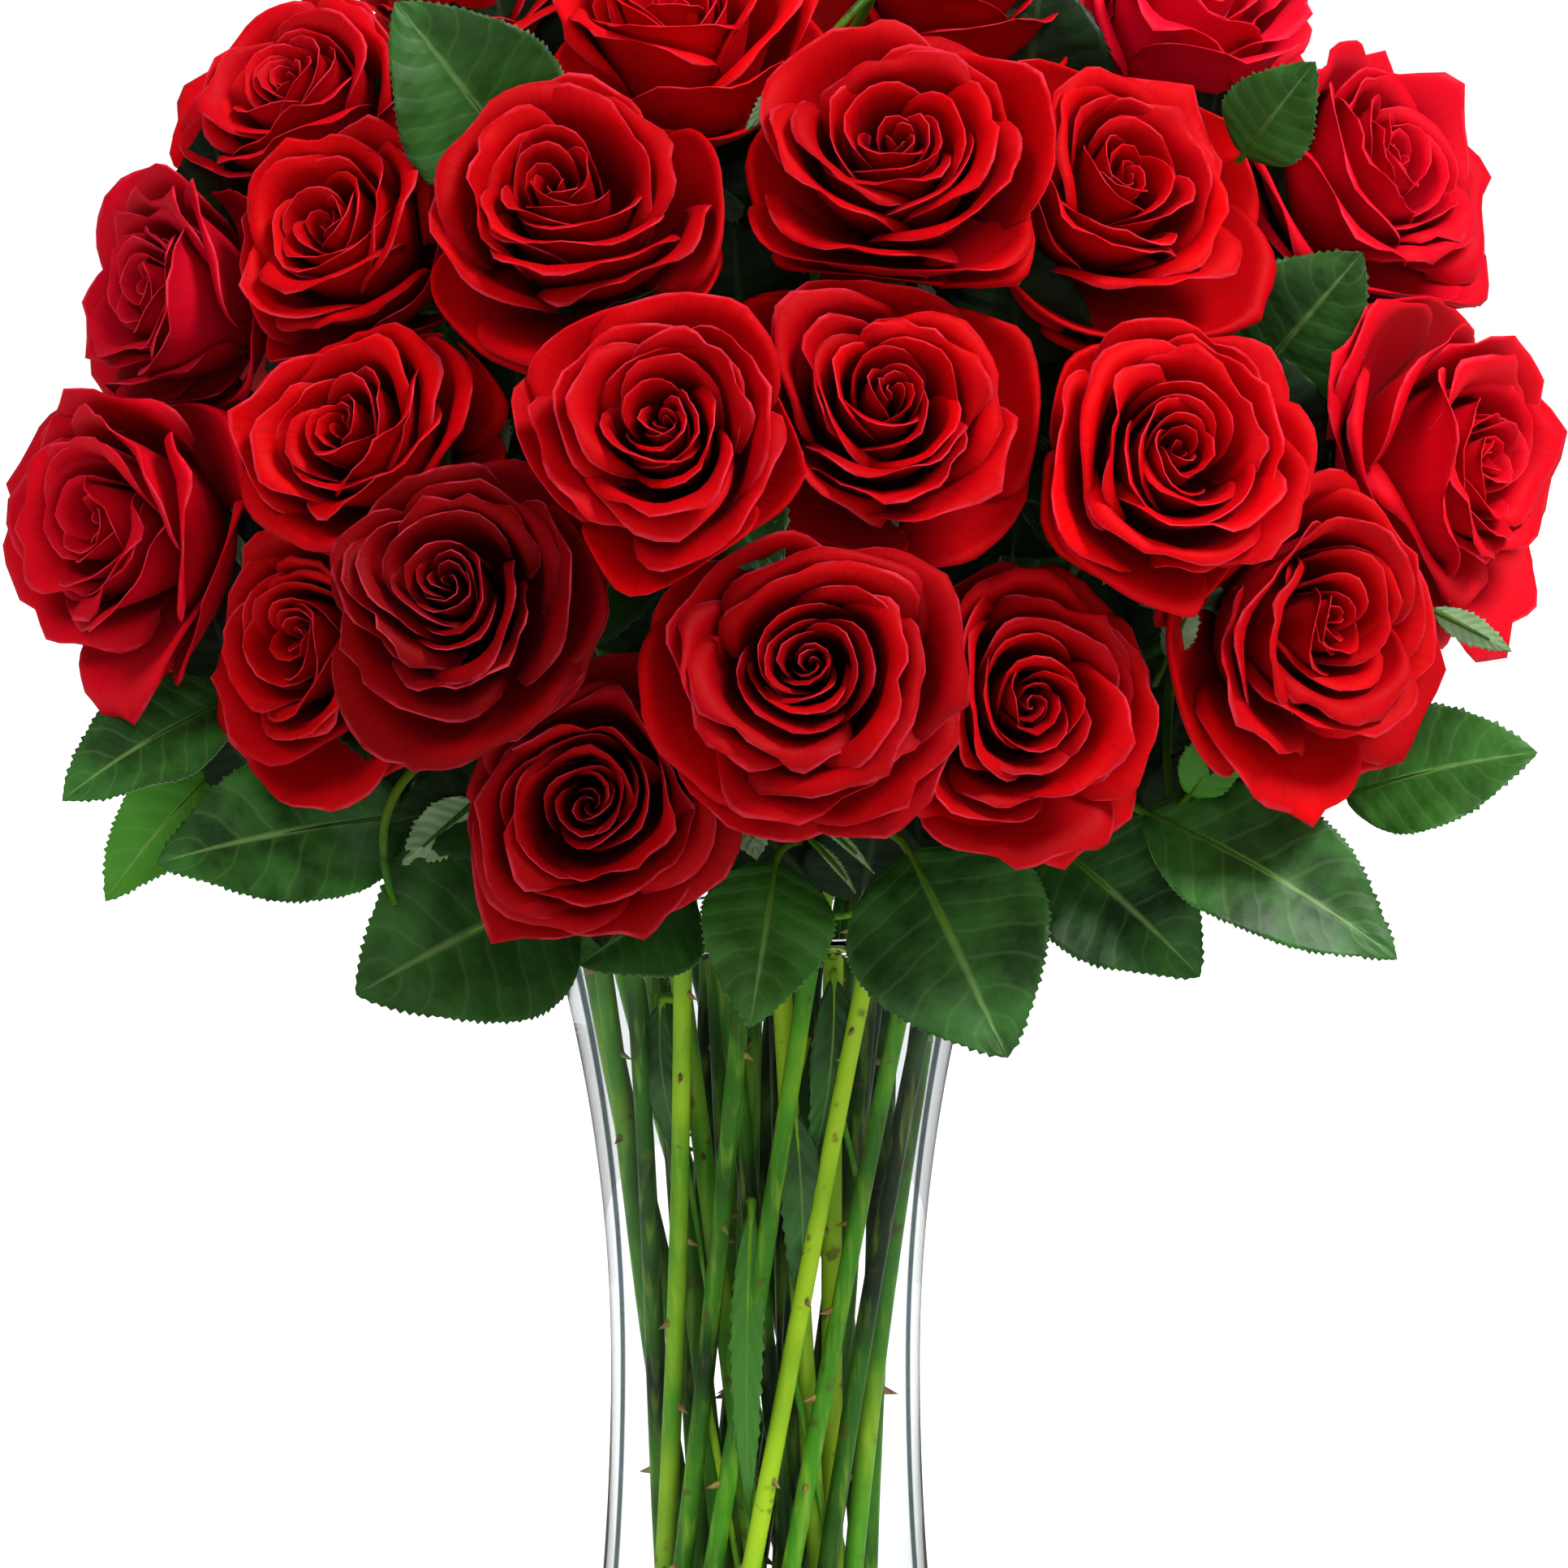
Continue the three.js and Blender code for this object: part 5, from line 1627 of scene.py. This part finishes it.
def add_vase(tree, sockets):
    top, wall, floor = VASE["height"], VASE["wall"], VASE["floor"]
    lip = wall / 2
    heights = np.linspace(FOOT_ROUNDING, top - lip, WALL_STEPS)
    outside = np.stack([vase_radius(heights), heights], 1)
    inner = np.linspace(top - lip, floor + CORNER_RADIUS + WALL_MARGIN, WALL_STEPS)
    inside = np.stack([vase_radius(inner) - wall, inner], 1)
    foot = vase_radius(0)
    corner = vase_radius(floor) - wall - CORNER_RADIUS
    profile = [
        [(0, FOOT_HOLLOW), (foot - HOLLOW_MARGIN, FOOT_HOLLOW)],
        arc((foot - RING_MARGIN, FOOT_RING), FOOT_RING, 250, 270, 3),
        arc((foot - FOOT_ROUNDING, FOOT_ROUNDING), FOOT_ROUNDING, 275, 350, 6),
        outside,
        arc((vase_radius(top) - lip, top - lip), lip, 10, 170, 7),
        inside,
        arc((corner, floor + CORNER_RADIUS), CORNER_RADIUS, -10, -85, 6),
        [(corner - FLOOR_MARGIN, floor), (0, floor)],
    ]
    made = turned("glass_vase", profile, GLASS, tree, sockets)
    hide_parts("vase")


def add_water(tree, sockets):
    """The water reaches a little into the glass, so that light goes from one into the other with no
    air between, and climbs the wall at its edge."""
    wall, floor = VASE["wall"], VASE["floor"]
    under = floor - WATER_OVERLAP
    start, end = floor + CORNER_RADIUS + WALL_MARGIN, WATER_LEVEL - WATER_SIDE_END
    heights = np.linspace(start, end, WATER_SIDE_STEPS)
    side = np.stack([vase_radius(heights) - wall + WATER_OVERLAP, heights], 1)
    corner = vase_radius(floor) - wall - CORNER_RADIUS
    edge = vase_radius(WATER_LEVEL) - wall
    profile = [
        [(0, under), (corner - FLOOR_MARGIN, under)],
        arc((corner, floor + CORNER_RADIUS), CORNER_RADIUS + WATER_OVERLAP, 275, 350, 6),
        side,
        [(edge + WATER_OVERLAP, WATER_LEVEL + WATER_EDGE)],
        [(edge - inwards, WATER_LEVEL + above) for inwards, above in MENISCUS],
        [(0, WATER_LEVEL)],
    ]
    made = turned("vase_water", profile, WATER, tree, sockets)
    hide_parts("water")


# The stage


def add_stage():
    """A plain pale floor. It glows a little, so that the bouquet's shadow stays faint on it."""
    mesh = bpy.data.meshes.new("floor")
    corners = [(x * FLOOR_HALF, y * FLOOR_HALF, -FLOOR_DROP) for x, y in ((-1, -1), (1, -1), (1, 1), (-1, 1))]
    mesh.from_pydata(corners, [], [(0, 1, 2, 3)])
    floor = linked("floor", mesh)
    made, tree, shader = new_material("pale_floor")
    connect(
        tree,
        shader,
        {
            "Base Color": (0.35, 0.35, 0.35, 1),
            "Roughness": 0.9,
            "Specular IOR Level": 0,
            "Emission Color": (1, 1, 1, 1),
            "Emission Strength": 0.85,
        },
    )
    mesh.materials.append(made)
    floor.visible_glossy = False


def add_sun(name, heading, pitch, energy, spread, mirrored):
    data = bpy.data.lights.new(name, "SUN")
    data.energy = energy
    data.angle = math.radians(spread)
    made = linked(name, data)
    made.rotation_euler = Vector(direction(heading, pitch)).to_track_quat("Z", "Y").to_euler()
    made.visible_glossy = mirrored


def light_room():
    """A white studio: bright to the eye and through the glass, softer as light on the roses."""
    world = bpy.data.worlds.new("studio")
    bpy.context.scene.world = world
    world.use_nodes = True
    tree = world.node_tree
    tree.nodes.clear()
    # The eye sees the room at its own strength, also through glass. It is weaker where it lights
    # matt surfaces and where gloss mirrors it.
    rays = add_node(tree, "ShaderNodeLightPath", out=None)
    lit = add_node(tree, "ShaderNodeMapRange", (rays["Is Diffuse Ray"], 0, 1, 1, LIGHT_OF_ROOM))
    bounced = add_node(tree, "ShaderNodeMath", (rays["Glossy Depth"], 0.5), operation="GREATER_THAN")
    mirrored = add_node(tree, "ShaderNodeMapRange", (bounced, 0, 1, 1, MIRRORED_ROOM))
    strength = add_node(tree, "ShaderNodeMath", (lit, mirrored), operation="MULTIPLY")
    room = add_node(tree, "ShaderNodeBackground", {"Color": (1, 1, 1, 1), "Strength": strength})
    add_node(tree, "ShaderNodeOutputWorld", {"Surface": room}, None)
    for sun in SUNS:
        add_sun(*sun)
    bpy.context.scene.view_settings.view_transform = "Standard"


def add_camera():
    data = bpy.data.cameras.new("camera")
    data.sensor_width = SENSOR
    data.lens = SENSOR * CAMERA_DISTANCE / SEEN_WIDTH
    data.clip_end = FAR_END
    made = linked("camera", data)
    back = Vector((0, -math.cos(CAMERA_RISE), math.sin(CAMERA_RISE)))
    made.matrix_world = Matrix.Translation(FOCUS + back * CAMERA_DISTANCE) @ (
        back.to_track_quat("Z", "Y").to_matrix().to_4x4()
    )
    bpy.context.scene.camera = made


add_camera()
add_stage()
light_room()
plan_stems()
draw_stems()
part_stems()
hand_out_leaves()
hand_out_sunk_leaves()
stem_nodes = stem_tree()
turned_nodes = turned_tree()
for rose in roses:
    bloom(rose)
    add_stem(rose, *stem_nodes)
    add_foliage(rose)
add_vase(*turned_nodes)
add_water(*turned_nodes)
